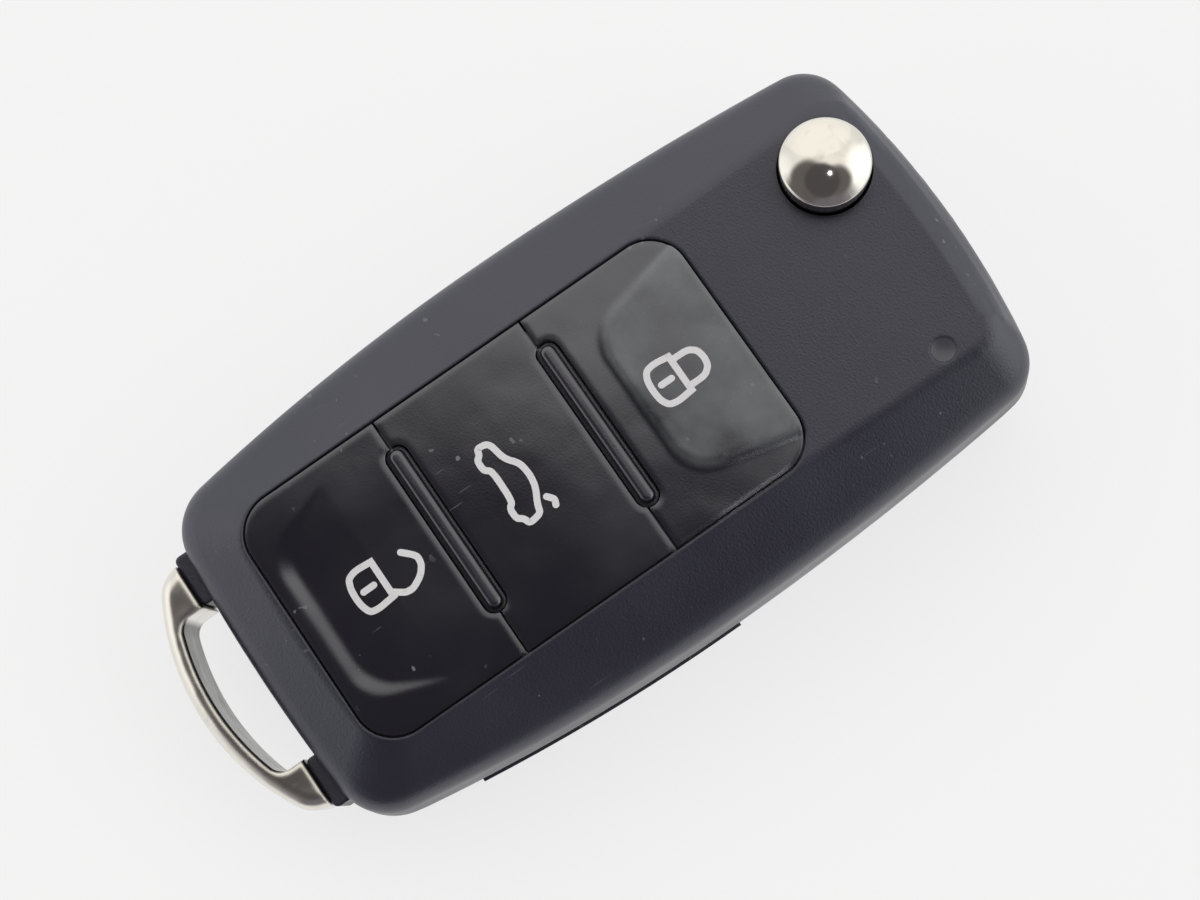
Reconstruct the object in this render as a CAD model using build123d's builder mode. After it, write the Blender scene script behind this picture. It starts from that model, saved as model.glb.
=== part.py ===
from build123d import *
import os

# Folding car key fob, in millimetres. The keypad faces +Z, the release button
# end is +Y and the key ring loop is at -Y. The origin is in the middle of the
# overall length and width, on the flat rear face. The blade is folded in.

# Overall sizes
case_length = 69.0
case_width = 37.0
case_thickness = 15.0
loop_reach = 6.0

# Plan outline of the case, the same for both shells
head_taper = 2.0
tail_taper = 2.9
widest_from_head = 35.5
head_bow = 1.9
tail_bow = 0.8
head_corner_radius = 4.2
tail_corner_radius = 5.0

# Shell walls and the form of the front and rear
shell_wall = 1.5
top_wall = 1.2
draft_inset = 0.3
parting_height = 7.5
shoulder_drop = 2.7
shoulder_radius = 2.7
rear_edge_radius = 2.4
crown_run = 7.2
crown_head_run = 6.4
plateau_from_head = 2.1
plateau_past_keypad = 0.25
plateau_bow = 0.5
plateau_corner_radius = 3.2
plateau_edge_radius = 2.2
inner_plateau_side = 1.0
inner_plateau_tail = 0.6
inner_plateau_head = -1.2

# Keypad opening and its three keys
keypad_from_side = 7.0
keypad_from_head = 20.45
keypad_from_tail = 5.45
keypad_corner_radius = 3.6
lock_key_length = 14.2
boot_key_length = 14.55
key_gap = 0.22
key_flange = 0.7
key_flange_thickness = 0.8
key_flange_clearance = 0.1
key_travel = 0.4
post_radius = 1.2

# Pill shaped ribs that stand between the keys
pill_from_side = 3.3
pill_width = 2.2
pill_rib_width = 1.3
pill_offset_x = 0.75
first_pill_past_split = 0.5
second_pill_past_split = 0.1
pill_rib_rise = 0.12
pill_floor_drop = 0.7
pill_floor_gap = 0.15
pill_rib_edge = 0.45

# Raised pad on the lock key and the dish in the unlock key
pad_from_side = 1.3
pad_taper = 2.4
pad_length = 10.6
pad_corner_radius = 3.6
pad_rise = 0.5
pad_slope = 1.1
dish_from_side = 2.0
dish_taper = 2.3
dish_length = 6.8
dish_corner_radius = 3.4
dish_depth = 0.6
dish_slope = 1.5
dish_from_tail = 1.3

# Circuit board and what it carries
board_thickness = 1.0
board_height = 9.4
board_from_side = 4.9
board_hub_gap = 1.4
board_tail_gap = 6.1
board_corner_radius = 2.4
board_arm_width = 8.4
board_past_lamp = 3.2
switch_size = 4.6
switch_height = 1.0
switch_corner_radius = 0.45
switch_well_depth = 0.6
plunger_radius = 0.9
plunger_clearance = 0.1
plunger_length = 0.65
mat_thickness = 0.6
mat_margin = 0.9
mat_rim = 1.0
mat_over_switch = 0.2
mat_hole_clearance = 0.5
chip_size = 7.0
chip_thickness = 1.0
chip_lead_length = 0.8
chip_lead_width = 0.45
chip_lead_pitch = 1.2
chip_leads_per_side = 5
chip_offset_x = 0.8
chip_from_board_head = 8.0
coil_length = 11.0
coil_width = 4.4
coil_height = 2.7
coil_flange = 1.2
coil_winding_inset = 0.45
coil_offset_x = 9.0
coil_from_board_head = 8.0
crystal_length = 6.0
crystal_width = 2.4
crystal_height = 1.3
crystal_offset_x = 3.0
crystal_from_board_tail = 2.8
resonator_size = 3.8
resonator_height = 1.2
resonator_offset_x = 10.6
capacitor_length = 2.0
capacitor_width = 1.2
capacitor_height = 0.9
capacitor_pitch = 2.6
capacitor_count = 4
capacitor_offset_x = 7.2

# Indicator lamp and its light guide
lamp_from_side = 8.1
lamp_from_head = 7.9
lamp_size = 1.6
lamp_height = 0.8
guide_radius = 1.0
guide_flange_radius = 1.7
guide_flange_thickness = 0.7
guide_clearance = 0.02
guide_lamp_gap = 0.3
guide_dish_radius = 2.4
guide_dish_depth = 0.22

# Coin cell and its contacts
cell_radius = 10.0
cell_thickness = 3.2
cell_rim_step = 1.1
cell_step_height = 0.4
cell_edge = 0.3
cell_offset_x = 5.0
cell_from_tail = 23.5
cell_clearance = 0.3
cell_height = 3.4
tray_wall = 0.9
contact_thickness = 0.25
contact_width = 3.6
contact_bend = 0.6
contact_foot = 3.2
contact_tip = 2.4
contact_run = 5.4

# Battery cover
cover_height = 3.0
cover_floor = 1.3
cover_length = 35.5
cover_rim = 1.3
cover_proud = 0.25
cover_gap = 0.06
grip_from_tail = 10.0
grip_edge = 1.2
cover_rest_width = 1.0
cover_tab_width = 5.0
cover_tab_reach = 1.1
cover_tab_thickness = 1.0
cover_tab_spacing = 17.0
cover_hook_width = 4.0
cover_hook_rise = 0.8
cover_hook_thickness = 0.9
cover_hook_barb = 0.4
cover_hook_room = 0.5
cover_hook_spacing = 18.4
cover_hook_from_tail = 6.4
pry_notch_length = 5.2
pry_notch_depth = 0.5
web_thickness = 1.4

# Flip axis, blade slot and blade
pivot_from_side = 11.14
pivot_from_head = 7.0
flip_angle = 180
blade_width = 8.6
blade_thickness = 2.8
blade_length = 45.4
blade_offset = 4.9
blade_root_drop = 5.8
blade_tip_chamfer = 2.6
blade_tip_edge = 0.6
blade_edge = 0.25
slot_bottom = 5.0
slot_gap = 0.2
slot_side_gap = 0.3
slot_tip_gap = 0.8
slot_wall = 1.2
slot_roof = 0.8
track_width = 2.4
track_depth = 0.7
track_start = 5.0
track_end = 3.5
track_swing = 1.3
track_steps = 6
track_bend = 3.0
tang_width = 4.6
tang_length = 3.2
tang_thickness = 1.4
pin_radius = 0.8
pin_from_root = 1.7

# Hub, plunger, spring and release button
hub_thickness = 3.0
hub_radius = 5.6
hub_cavity_gap = 0.3
hub_arm_length = 2.9
running_clearance = 0.05
lower_journal_radius = 3.5
lower_journal_length = 3.0
lower_journal_end_gap = 0.2
upper_journal_radius = 4.4
upper_journal_length = 3.6
upper_journal_end_gap = 0.2
boss_wall = 1.25
hub_bore_radius = 3.2
hub_bore_floor = 0.3
button_radius = 3.81
button_recess_gap = 0.15
button_rise = 3.2
button_dome_rise = 1.15
button_edge_radius = 0.5
button_travel = 1.6
button_travel_gap = 0.1
stem_radius = 2.4
stem_clearance = 0.1
ledge_thickness = 0.7
spool_height = 2.0
spool_gap = 0.1
lug_width = 1.5
lug_reach = 0.05
lug_height = 1.3
lug_slot_gap = 0.1
lug_from_spool_top = 0.3
spring_wire_radius = 0.3
spring_turns = 3.5
spring_side_gap = 0.1

# Key ring loop
loop_height = 6.0
loop_bottom = 4.5
loop_foot_from_corner = 3.5
loop_foot_width = 4.5
loop_foot_gap = 0.65
loop_corner_inset = 0.6
loop_corner_rise = 3.3
loop_corner_radius = 3.0
loop_strap = 1.7
loop_inner_rise = 1.4
loop_inner_radius = 1.4
loop_crown_radius = 1.3
loop_edge = 0.35
tongue_width = 3.6
tongue_height = 3.8
tongue_reach = 4.9
tongue_from_foot_side = 2.0
tongue_clearance = 0.1
peg_radius = 0.8
peg_clearance = 0.1
peg_from_tail = 2.9
peg_top_gap = 0.2
lug_block_width = 4.7
lug_block_edge = 0.5
lug_block_margin = 0.6

# Case screws
screw_spacing = 8.4
screw_from_tail = 3.0
screw_radius = 0.9
screw_head_radius = 1.7
screw_head_height = 1.1
screw_clearance = 0.15
screw_grip = 4.0
screw_boss_radius = 1.75
screw_boss_height = 4.6

# How far cuts run past what they cut, and the band that edges are picked from
overrun = 1.0
edge_band = 0.05

# Heights and places that follow from the sizes above
head_y = (case_length + loop_reach) / 2
head_width = case_width - 2 * head_taper
tail_width = case_width - 2 * tail_taper
plateau_width = case_width - 2 * crown_run
plateau_head_width = case_width - 2 * crown_head_run
keypad_width = case_width - 2 * keypad_from_side
keypad_length = case_length - keypad_from_head - keypad_from_tail
pill_length = keypad_width - 2 * pill_from_side
pad_wide = keypad_width - 2 * pad_from_side
pad_narrow = pad_wide - 2 * pad_taper
dish_wide = keypad_width - 2 * dish_from_side
dish_narrow = dish_wide - 2 * dish_taper
board_width = case_width - 2 * board_from_side
lamp_offset_x = case_width / 2 - lamp_from_side
pivot_x = pivot_from_side - case_width / 2
loop_foot_outer = tail_width - 2 * loop_foot_from_corner
loop_foot_inner = loop_foot_outer - 2 * loop_foot_width
loop_corner_width = loop_foot_outer - 2 * loop_corner_inset
tongue_centre = loop_foot_outer - 2 * tongue_from_foot_side
tail_y = head_y - case_length
widest_y = head_y - widest_from_head
shoulder_height = case_thickness - shoulder_drop
ceiling_height = case_thickness - top_wall
keypad_head_y = head_y - keypad_from_head
keypad_tail_y = keypad_head_y - keypad_length
keypad_y = (keypad_head_y + keypad_tail_y) / 2
plateau_head_y = head_y - plateau_from_head
plateau_tail_y = keypad_tail_y - plateau_past_keypad
upper_split_y = keypad_head_y - lock_key_length
lower_split_y = upper_split_y - boot_key_length
pill_places = [
    (-pill_offset_x, upper_split_y + first_pill_past_split),
    (-pill_offset_x, lower_split_y + second_pill_past_split),
]
key_spans = {
    "lock": (upper_split_y, keypad_head_y + overrun),
    "boot": (lower_split_y, upper_split_y),
    "unlock": (keypad_tail_y - overrun, lower_split_y),
}
key_places = {
    "lock": (0, (upper_split_y + keypad_head_y) / 2),
    "boot": (0, (lower_split_y + upper_split_y) / 2),
    "unlock": (0, (keypad_tail_y + lower_split_y) / 2),
}
flange_top = ceiling_height - key_flange_clearance
cap_bottom = flange_top - key_flange_thickness
board_top = board_height + board_thickness
board_tail_y = tail_y + board_tail_gap
switch_top = board_top + switch_height
plunger_bottom = switch_top - switch_well_depth + key_travel + plunger_clearance / 2
plunger_top = plunger_bottom + plunger_length
mat_bottom = switch_top + mat_over_switch
mat_top = mat_bottom + mat_thickness
lamp_place = (lamp_offset_x, head_y - lamp_from_head)
cell_place = (cell_offset_x, tail_y + cell_from_tail)
cell_bore = cell_radius + cell_clearance
tray_radius = cell_bore + tray_wall
cell_top = cell_height + cell_thickness
cover_head_y = tail_y + cover_length
grip_tail_y = tail_y + grip_from_tail
web_top = cover_height + web_thickness
pivot = (pivot_x, head_y - pivot_from_head)
folded_x = pivot_x - blade_offset
opened_x = pivot_x + blade_offset
blade_root_y = pivot[1] - blade_root_drop
blade_tip_y = blade_root_y - blade_length
hub_bottom = slot_bottom + slot_gap
hub_top = hub_bottom + hub_thickness
slot_top = hub_top + slot_gap
blade_bottom = hub_bottom + (hub_thickness - blade_thickness) / 2
slot_tail_y = blade_tip_y - slot_tip_gap
slot_right_x = folded_x + blade_width / 2 + slot_side_gap
strip_right_x = slot_right_x + slot_wall
head_gap_right_x = opened_x + blade_width / 2 + slot_side_gap
strip_tail_y = slot_tail_y - slot_wall
strip_hub_y = pivot[1] - hub_radius - hub_cavity_gap - slot_wall
board_head_y = strip_hub_y - board_hub_gap
journal_top = hub_top + upper_journal_length
ledge_bottom = journal_top + upper_journal_end_gap
ledge_top = ledge_bottom + ledge_thickness
cap_seat = ledge_top + button_travel + button_travel_gap
hub_floor = hub_bottom + hub_bore_floor
spool_top = ledge_bottom - spool_gap
spool_bottom = spool_top - spool_height
loop_foot_y = tail_y - loop_foot_gap
loop_tip_y = tail_y - loop_reach
loop_middle_height = loop_bottom + loop_height / 2
peg_y = tail_y + peg_from_tail
screw_y = tail_y + screw_from_tail
hook_y = tail_y + cover_hook_from_tail
journal_floor = hub_bottom - lower_journal_length - lower_journal_end_gap
lug_top = spool_top - lug_from_spool_top
lug_bottom = lug_top - lug_height
tongue_bottom = loop_middle_height - tongue_height / 2
tongue_top = loop_middle_height + tongue_height / 2
lug_block_bottom = loop_bottom + lug_block_margin
lug_block_top = loop_bottom + loop_height - lug_block_margin
cell_tail_y = cell_place[1] - cell_radius


def case_section(height, inset):
    """Case outline at one height, drawn in by an inset."""
    widest = (case_width / 2 - inset, widest_y)
    head_corner = (head_width / 2 - inset, head_y - head_bow - inset)
    tail_corner = (tail_width / 2 - inset, tail_y + tail_bow + inset)
    with BuildSketch(Plane.XY.offset(height)) as section:
        with BuildLine():
            TangentArc((0, head_y - inset), head_corner, tangent=(1, 0))
            TangentArc(widest, head_corner, tangent=(0, 1))
            TangentArc(widest, tail_corner, tangent=(0, -1))
            TangentArc((0, tail_y + inset), tail_corner, tangent=(1, 0))
            mirror(about=Plane.YZ)
        make_face()
        fillet(section.vertices().group_by(Axis.Y)[0], tail_corner_radius - inset)
        fillet(section.vertices().group_by(Axis.Y)[-1], head_corner_radius - inset)
    return section.sketch


def plateau_section(height, side, tail, head):
    """Outline of the flat top, moved out at its sides, tail and head."""
    middle = (plateau_width / 2 + side, widest_y)
    head_corner = (plateau_head_width / 2 + side, plateau_head_y - plateau_bow + head)
    tail_corner = (plateau_width / 2 + side, plateau_tail_y + plateau_bow - tail)
    with BuildSketch(Plane.XY.offset(height)) as section:
        with BuildLine():
            TangentArc((0, plateau_head_y + head), head_corner, tangent=(1, 0))
            Line(middle, head_corner)
            Line(middle, tail_corner)
            TangentArc((0, plateau_tail_y - tail), tail_corner, tangent=(1, 0))
            mirror(about=Plane.YZ)
        make_face()
        fillet(section.vertices().group_by(Axis.Y)[0], plateau_corner_radius)
        fillet(section.vertices().group_by(Axis.Y)[-1], plateau_corner_radius)
    return section.sketch


def edges_at(part, height):
    """Edges of a part whose middle lies at one height."""
    return part.edges().filter_by_position(Axis.Z, height - edge_band, height + edge_band)


def front_form(inset, drop, grow):
    """Front half of the case: drafted wall, sloped crown and flat top."""
    with BuildPart() as form:
        add(case_section(parting_height, inset))
        add(case_section(shoulder_height - drop, inset + draft_inset))
        add(plateau_section(case_thickness - drop, *grow))
        loft(ruled=True)
    return form


def rear_form(proud):
    """Rear half of the case: drafted wall and rounded rear edge."""
    with BuildPart() as form:
        add(case_section(0, draft_inset - proud))
        add(case_section(parting_height, -proud))
        loft(ruled=True)
        fillet(edges_at(form, 0), rear_edge_radius)
    return form


def strip_plan():
    """Thick strip that carries the blade slot and turns round the hub."""
    with BuildSketch() as plan:
        add(case_section(0, shell_wall / 2))
        with BuildSketch(mode=Mode.INTERSECT):
            with Locations((strip_right_x, strip_tail_y)):
                Rectangle(case_width, case_length, align=(Align.MAX, Align.MIN))
            with Locations((head_gap_right_x + slot_wall, strip_hub_y)):
                Rectangle(case_width, case_length, align=(Align.MAX, Align.MIN))
    return plan.sketch


def bay_plan():
    """Room inside the shell walls, less the strip of the blade slot."""
    with BuildSketch() as plan:
        add(case_section(0, shell_wall + draft_inset))
        add(strip_plan(), mode=Mode.SUBTRACT)
    return plan.sketch


def hub_plan(grow):
    """Plan of the hub's disc and the arm that holds the folded blade."""
    with BuildSketch() as plan:
        with Locations(pivot):
            Circle(hub_radius + grow)
        with Locations((folded_x, blade_root_y + hub_arm_length / 2)):
            Rectangle(blade_width + 2 * grow, hub_arm_length + 2 * grow)
        make_hull()
    return plan.sketch


def slot_plan():
    """Space that the folded, turning and opened blade passes through."""
    with BuildSketch() as plan:
        with Locations((slot_right_x, slot_tail_y)):
            Rectangle(case_width, pivot[1] - slot_tail_y, align=(Align.MAX, Align.MIN))
        with Locations((head_gap_right_x, pivot[1])):
            Rectangle(case_width, case_length, align=(Align.MAX, Align.MIN))
        with Locations(pivot):
            Circle(hub_radius + hub_cavity_gap)
        with Locations((2 * pivot[0], 2 * pivot[1])):
            add(hub_plan(slot_side_gap), rotation=flip_angle)
    return plan.sketch


def lug_plan():
    """Two blocks on the tail wall that the loop's feet stand on."""
    with BuildSketch() as plan:
        with Locations((-tongue_centre / 2, loop_foot_y), (tongue_centre / 2, loop_foot_y)):
            Rectangle(lug_block_width, loop_foot_gap + shell_wall, align=(Align.CENTER, Align.MIN))
        fillet(plan.vertices().group_by(Axis.Y)[0], lug_block_edge)
    return plan.sketch


def tongue_plan(grow):
    """Plan of the loop's two tongues, from the feet into the case."""
    with BuildSketch() as plan:
        with Locations((-tongue_centre / 2, loop_foot_y), (tongue_centre / 2, loop_foot_y)):
            Rectangle(tongue_width + 2 * grow, tongue_reach + grow, align=(Align.CENTER, Align.MIN))
    return plan.sketch


def key_plan(span, grow):
    """One key's stretch of the keypad, less the gap all round it."""
    low, high = span
    with BuildSketch() as plan:
        with Locations((0, keypad_y)):
            RectangleRounded(
                keypad_width + 2 * (grow - key_gap),
                keypad_length + 2 * (grow - key_gap),
                keypad_corner_radius + grow - key_gap,
            )
        with Locations((0, (low + high) / 2)):
            Rectangle(2 * keypad_width, high - low, mode=Mode.INTERSECT)
        with Locations((0, upper_split_y), (0, lower_split_y)):
            Rectangle(2 * keypad_width, key_gap, mode=Mode.SUBTRACT)
        with Locations(*pill_places):
            SlotOverall(pill_length, pill_width, mode=Mode.SUBTRACT)
    return plan.sketch


def pad_section(height, wide, narrow, length, corner_radius, end_y, toward, inset):
    """D shaped outline that opens toward one end of the keypad."""
    with BuildSketch(Plane.XY.offset(height)) as section:
        with BuildLine():
            Polyline(
                (-wide / 2 + inset, end_y),
                (-narrow / 2 + inset, end_y - toward * (length - inset)),
                (narrow / 2 - inset, end_y - toward * (length - inset)),
                (wide / 2 - inset, end_y),
                close=True,
            )
        make_face()
        inner_row = section.vertices().group_by(Axis.Y)[0 if toward > 0 else -1]
        fillet(inner_row, corner_radius)
    return section.sketch


def pad_form(low, high, pad, slope, end_y, toward):
    """Shallow D shaped frustum between two heights, as (height, inset)."""
    wide, narrow, length, corner_radius = pad
    with BuildPart() as form:
        add(pad_section(low, wide, narrow, length, corner_radius, end_y, toward, slope[0]))
        add(pad_section(high, wide, narrow, length, corner_radius, end_y, toward, slope[1]))
        loft(ruled=True)
    return form


def coin_profile(radius):
    """Circle of one radius at the coin cell's place."""
    with BuildSketch() as plan:
        with Locations(cell_place):
            Circle(radius)
    return plan.sketch


blocks = {}
front_raw = front_form(0, 0, (0, 0, 0))
with BuildPart() as front_outer:
    add(front_raw.part)
    fillet(edges_at(front_outer, case_thickness), plateau_edge_radius)
    fillet(edges_at(front_outer, shoulder_height), shoulder_radius)
front_inner = front_form(
    shell_wall,
    top_wall,
    (inner_plateau_side, inner_plateau_tail, inner_plateau_head),
)
rear_outer = rear_form(0)
rear_proud = rear_form(cover_proud)
strip = strip_plan()
bay = bay_plan()
slot = slot_plan()
lugs = lug_plan()
tongues = tongue_plan(0)
tongue_room = tongue_plan(tongue_clearance)
screw_places = [(-screw_spacing / 2, screw_y), (screw_spacing / 2, screw_y)]
peg_places = [(-tongue_centre / 2, peg_y), (tongue_centre / 2, peg_y)]
hook_places = [(-cover_hook_spacing / 2, hook_y), (cover_hook_spacing / 2, hook_y)]
tab_places = [(-cover_tab_spacing / 2, cover_head_y), (cover_tab_spacing / 2, cover_head_y)]
pivot_section = Plane(origin=(*pivot, 0), x_dir=(1, 0, 0), z_dir=(0, -1, 0))
pivot_axis = Axis((*pivot, 0), (0, 0, 1))

# Boss that carries the hub's upper journal, cut to the crown's outside
with BuildPart() as journal_boss:
    with BuildSketch(Plane.XY.offset(slot_top)):
        with Locations(pivot):
            Circle(upper_journal_radius + running_clearance + boss_wall)
    extrude(amount=case_thickness - slot_top)
    add(front_outer.part, mode=Mode.INTERSECT)

# Front shell: crown, keypad opening, blade slot roof, hub boss and recesses
with BuildPart() as front_shell:
    add(front_outer.part)
    add(front_inner.part, mode=Mode.SUBTRACT)
    with BuildSketch(Plane.XY.offset(parting_height)):
        add(strip)
    extrude(amount=slot_top + slot_roof - parting_height)
    add(journal_boss.part)
    with BuildSketch(Plane.XY.offset(parting_height)):
        with Locations(*screw_places):
            Circle(screw_boss_radius)
    extrude(amount=screw_boss_height)
    with BuildSketch(Plane.XY.offset(parting_height)):
        add(lugs)
    extrude(amount=lug_block_top - parting_height)
    with BuildSketch(Plane.XY.offset(parting_height)):
        add(slot)
    extrude(amount=slot_top - parting_height, mode=Mode.SUBTRACT)
    with BuildSketch(Plane.XY.offset(parting_height)):
        add(tongue_room)
    extrude(amount=tongue_top + tongue_clearance - parting_height, mode=Mode.SUBTRACT)
    with BuildSketch(Plane.XY.offset(parting_height)):
        with Locations(*screw_places):
            Circle(screw_radius)
    extrude(amount=screw_grip, mode=Mode.SUBTRACT)
    with BuildSketch(Plane.XY.offset(cap_bottom)):
        with Locations((0, keypad_y)):
            RectangleRounded(keypad_width, keypad_length, keypad_corner_radius)
    extrude(amount=case_thickness - cap_bottom + overrun, mode=Mode.SUBTRACT)
    with BuildSketch(Plane.XY.offset(slot_top)):
        with Locations(pivot):
            Circle(upper_journal_radius + running_clearance)
    extrude(amount=ledge_bottom - slot_top, mode=Mode.SUBTRACT)
    with BuildSketch(Plane.XY.offset(ledge_bottom)):
        with Locations(pivot):
            Circle(stem_radius + stem_clearance)
    extrude(amount=ledge_thickness, mode=Mode.SUBTRACT)
    with BuildSketch(Plane.XY.offset(ledge_top)):
        with Locations(pivot):
            Circle(button_radius + button_recess_gap)
    extrude(amount=case_thickness - ledge_top + overrun, mode=Mode.SUBTRACT)
    with BuildSketch(Plane.XY.offset(ceiling_height - overrun)):
        with Locations(lamp_place):
            Circle(guide_radius + guide_clearance)
    extrude(amount=top_wall + 2 * overrun, mode=Mode.SUBTRACT)
blocks["front_shell"] = front_shell

# Rear shell: hub bearing, blade slot floor, cell tray, web and fixings
with BuildPart() as rear_shell:
    add(rear_outer.part)
    with BuildSketch():
        with Locations((0, cover_head_y)):
            Rectangle(2 * case_width, case_length, align=(Align.CENTER, Align.MAX))
    extrude(amount=cover_height, mode=Mode.SUBTRACT)
    with BuildSketch(Plane.XY.offset(web_top)):
        add(bay)
    extrude(amount=parting_height - web_top, mode=Mode.SUBTRACT)
    with BuildSketch(Plane.XY.offset(cover_floor)):
        add(bay)
        with Locations((0, cover_head_y + web_thickness)):
            Rectangle(
                2 * case_width,
                case_length,
                align=(Align.CENTER, Align.MIN),
                mode=Mode.INTERSECT,
            )
    extrude(amount=web_top - cover_floor, mode=Mode.SUBTRACT)
    with BuildSketch(Plane.XY.offset(cover_height)):
        add(coin_profile(tray_radius))
    extrude(amount=board_height - cover_height)
    with BuildSketch(Plane.XY.offset(cover_height)):
        add(coin_profile(cell_bore))
        with Locations((cell_place[0], cell_tail_y + cell_clearance)):
            Rectangle(
                contact_width + 2 * cell_clearance,
                2 * cell_clearance + tray_wall + overrun,
                align=(Align.CENTER, Align.MAX),
            )
    extrude(amount=board_height - cover_height, mode=Mode.SUBTRACT)
    with BuildSketch(Plane.XY.offset(slot_bottom)):
        add(slot)
    extrude(amount=parting_height - slot_bottom, mode=Mode.SUBTRACT)
    with BuildSketch(Plane.XY.offset(web_top)):
        with Locations(*screw_places):
            Circle(screw_boss_radius)
        with Locations(*peg_places):
            Circle(tongue_width / 2)
    extrude(amount=tongue_bottom - tongue_clearance - web_top)
    with BuildSketch(Plane.XY.offset(web_top)):
        with Locations(*screw_places):
            Circle(screw_boss_radius)
    extrude(amount=parting_height - web_top)
    with BuildSketch(Plane.XY.offset(lug_block_bottom)):
        add(lugs)
    extrude(amount=parting_height - lug_block_bottom)
    with BuildSketch(Plane.XY.offset(tongue_bottom - tongue_clearance)):
        add(tongue_room)
    extrude(amount=tongue_height / 2 + tongue_clearance, mode=Mode.SUBTRACT)
    with BuildSketch(Plane.XY.offset(web_top)):
        with Locations(*peg_places):
            Circle(peg_radius)
    extrude(amount=tongue_top - peg_top_gap - web_top)
    with BuildSketch(Plane.XY.offset(journal_floor)):
        with Locations(pivot):
            Circle(lower_journal_radius + running_clearance)
    extrude(amount=slot_bottom - journal_floor, mode=Mode.SUBTRACT)
    with BuildSketch(Plane.XY.offset(cover_height)):
        with Locations(*screw_places):
            Circle(screw_radius + screw_clearance)
    extrude(amount=parting_height - cover_height, mode=Mode.SUBTRACT)
    with BuildSketch(Plane.XY.offset(cover_height)):
        with Locations(*screw_places):
            Circle(screw_head_radius + screw_clearance)
    extrude(amount=screw_head_height + screw_clearance, mode=Mode.SUBTRACT)
    with BuildSketch(Plane.XY.offset(cover_height)):
        with Locations(*hook_places):
            Rectangle(
                cover_hook_width + 2 * cover_gap,
                cover_hook_thickness + cover_hook_room,
                align=(Align.CENTER, Align.MAX),
            )
    extrude(amount=web_thickness, mode=Mode.SUBTRACT)
    with BuildSketch(Plane.XY.offset(cover_floor + cover_gap)):
        with Locations(*tab_places):
            Rectangle(
                cover_tab_width + 2 * cover_gap,
                2 * web_thickness,
                align=(Align.CENTER, Align.CENTER),
            )
    extrude(amount=cover_tab_thickness + 2 * cover_gap, mode=Mode.SUBTRACT)
blocks["rear_shell"] = rear_shell

# Battery cover: rear face of the tail half, with its grips, tabs and hooks
with BuildPart() as cover_grips:
    add(rear_proud.part)
    with BuildSketch():
        with Locations((0, grip_tail_y)):
            Rectangle(
                2 * case_width,
                cover_head_y - cover_gap - grip_tail_y,
                align=(Align.CENTER, Align.MIN),
            )
    extrude(amount=cover_height - cover_gap, mode=Mode.INTERSECT)
with BuildPart() as battery_cover:
    add(rear_outer.part)
    with BuildSketch():
        with Locations((0, cover_head_y - cover_gap)):
            Rectangle(2 * case_width, case_length, align=(Align.CENTER, Align.MAX))
    extrude(amount=cover_height - cover_gap, mode=Mode.INTERSECT)
    add(cover_grips.part)
    with BuildSketch(Plane.XY.offset(cover_floor)):
        add(case_section(0, cover_rim + draft_inset))
        with Locations((0, cover_head_y - cover_gap - cover_rim)):
            Rectangle(
                2 * case_width,
                case_length,
                align=(Align.CENTER, Align.MAX),
                mode=Mode.INTERSECT,
            )
    extrude(amount=cover_height, mode=Mode.SUBTRACT)
    with BuildSketch(Plane.XY.offset(cover_floor)):
        add(coin_profile(cell_radius - cell_rim_step))
        add(coin_profile(cell_radius - cell_rim_step - cover_rest_width), mode=Mode.SUBTRACT)
    extrude(amount=cell_height - cover_floor)
    with BuildSketch(Plane.XY.offset(cover_floor)):
        with Locations(*hook_places):
            Rectangle(cover_hook_width, cover_hook_thickness, align=(Align.CENTER, Align.MAX))
    extrude(amount=web_top + cover_hook_rise - cover_floor)
    with BuildSketch(Plane.XY.offset(web_top + cover_gap)):
        with Locations(*hook_places):
            Rectangle(cover_hook_width, cover_hook_barb, align=(Align.CENTER, Align.MIN))
    extrude(amount=cover_hook_rise - cover_gap)
    with BuildSketch(Plane.XY.offset(cover_floor + 2 * cover_gap)):
        with Locations(*tab_places):
            Rectangle(
                cover_tab_width,
                2 * cover_tab_reach,
                align=(Align.CENTER, Align.CENTER),
            )
    extrude(amount=cover_tab_thickness - cover_gap)
    with BuildSketch(Plane.XY.offset(cover_height - pry_notch_depth)):
        with Locations((case_width / 2 + cover_proud, cover_head_y)):
            Rectangle(2 * pry_notch_depth, 2 * pry_notch_length)
    extrude(amount=overrun, mode=Mode.SUBTRACT)
blocks["battery_cover"] = battery_cover

# Keys: three caps, the raised pad of the lock key and the unlock key's dish
with BuildPart() as lock_pad:
    add(
        pad_form(
            case_thickness - pad_rise / 2,
            case_thickness + pad_rise,
            (pad_wide, pad_narrow, pad_length, pad_corner_radius),
            (0, pad_slope),
            keypad_head_y,
            1,
        ).part
    )
    with BuildSketch(Plane.XY.offset(cap_bottom)):
        add(key_plan(key_spans["lock"], 0))
    extrude(amount=case_thickness, mode=Mode.INTERSECT)
dish_tail_y = keypad_tail_y + dish_from_tail
unlock_dish = pad_form(
    case_thickness - dish_depth,
    case_thickness + dish_depth,
    (dish_wide, dish_narrow, dish_length, dish_corner_radius),
    (dish_slope, -dish_slope),
    dish_tail_y + dish_length,
    1,
)
with BuildPart() as dish_wedge:
    with BuildSketch(Plane.YZ):
        with BuildLine():
            Polyline(
                (dish_tail_y - overrun, case_thickness - dish_depth),
                (dish_tail_y + dish_length, case_thickness),
                (dish_tail_y + dish_length, case_thickness + overrun),
                (dish_tail_y - overrun, case_thickness + overrun),
                close=True,
            )
        make_face()
    extrude(amount=keypad_width, both=True)
    add(unlock_dish.part, mode=Mode.INTERSECT)
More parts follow.
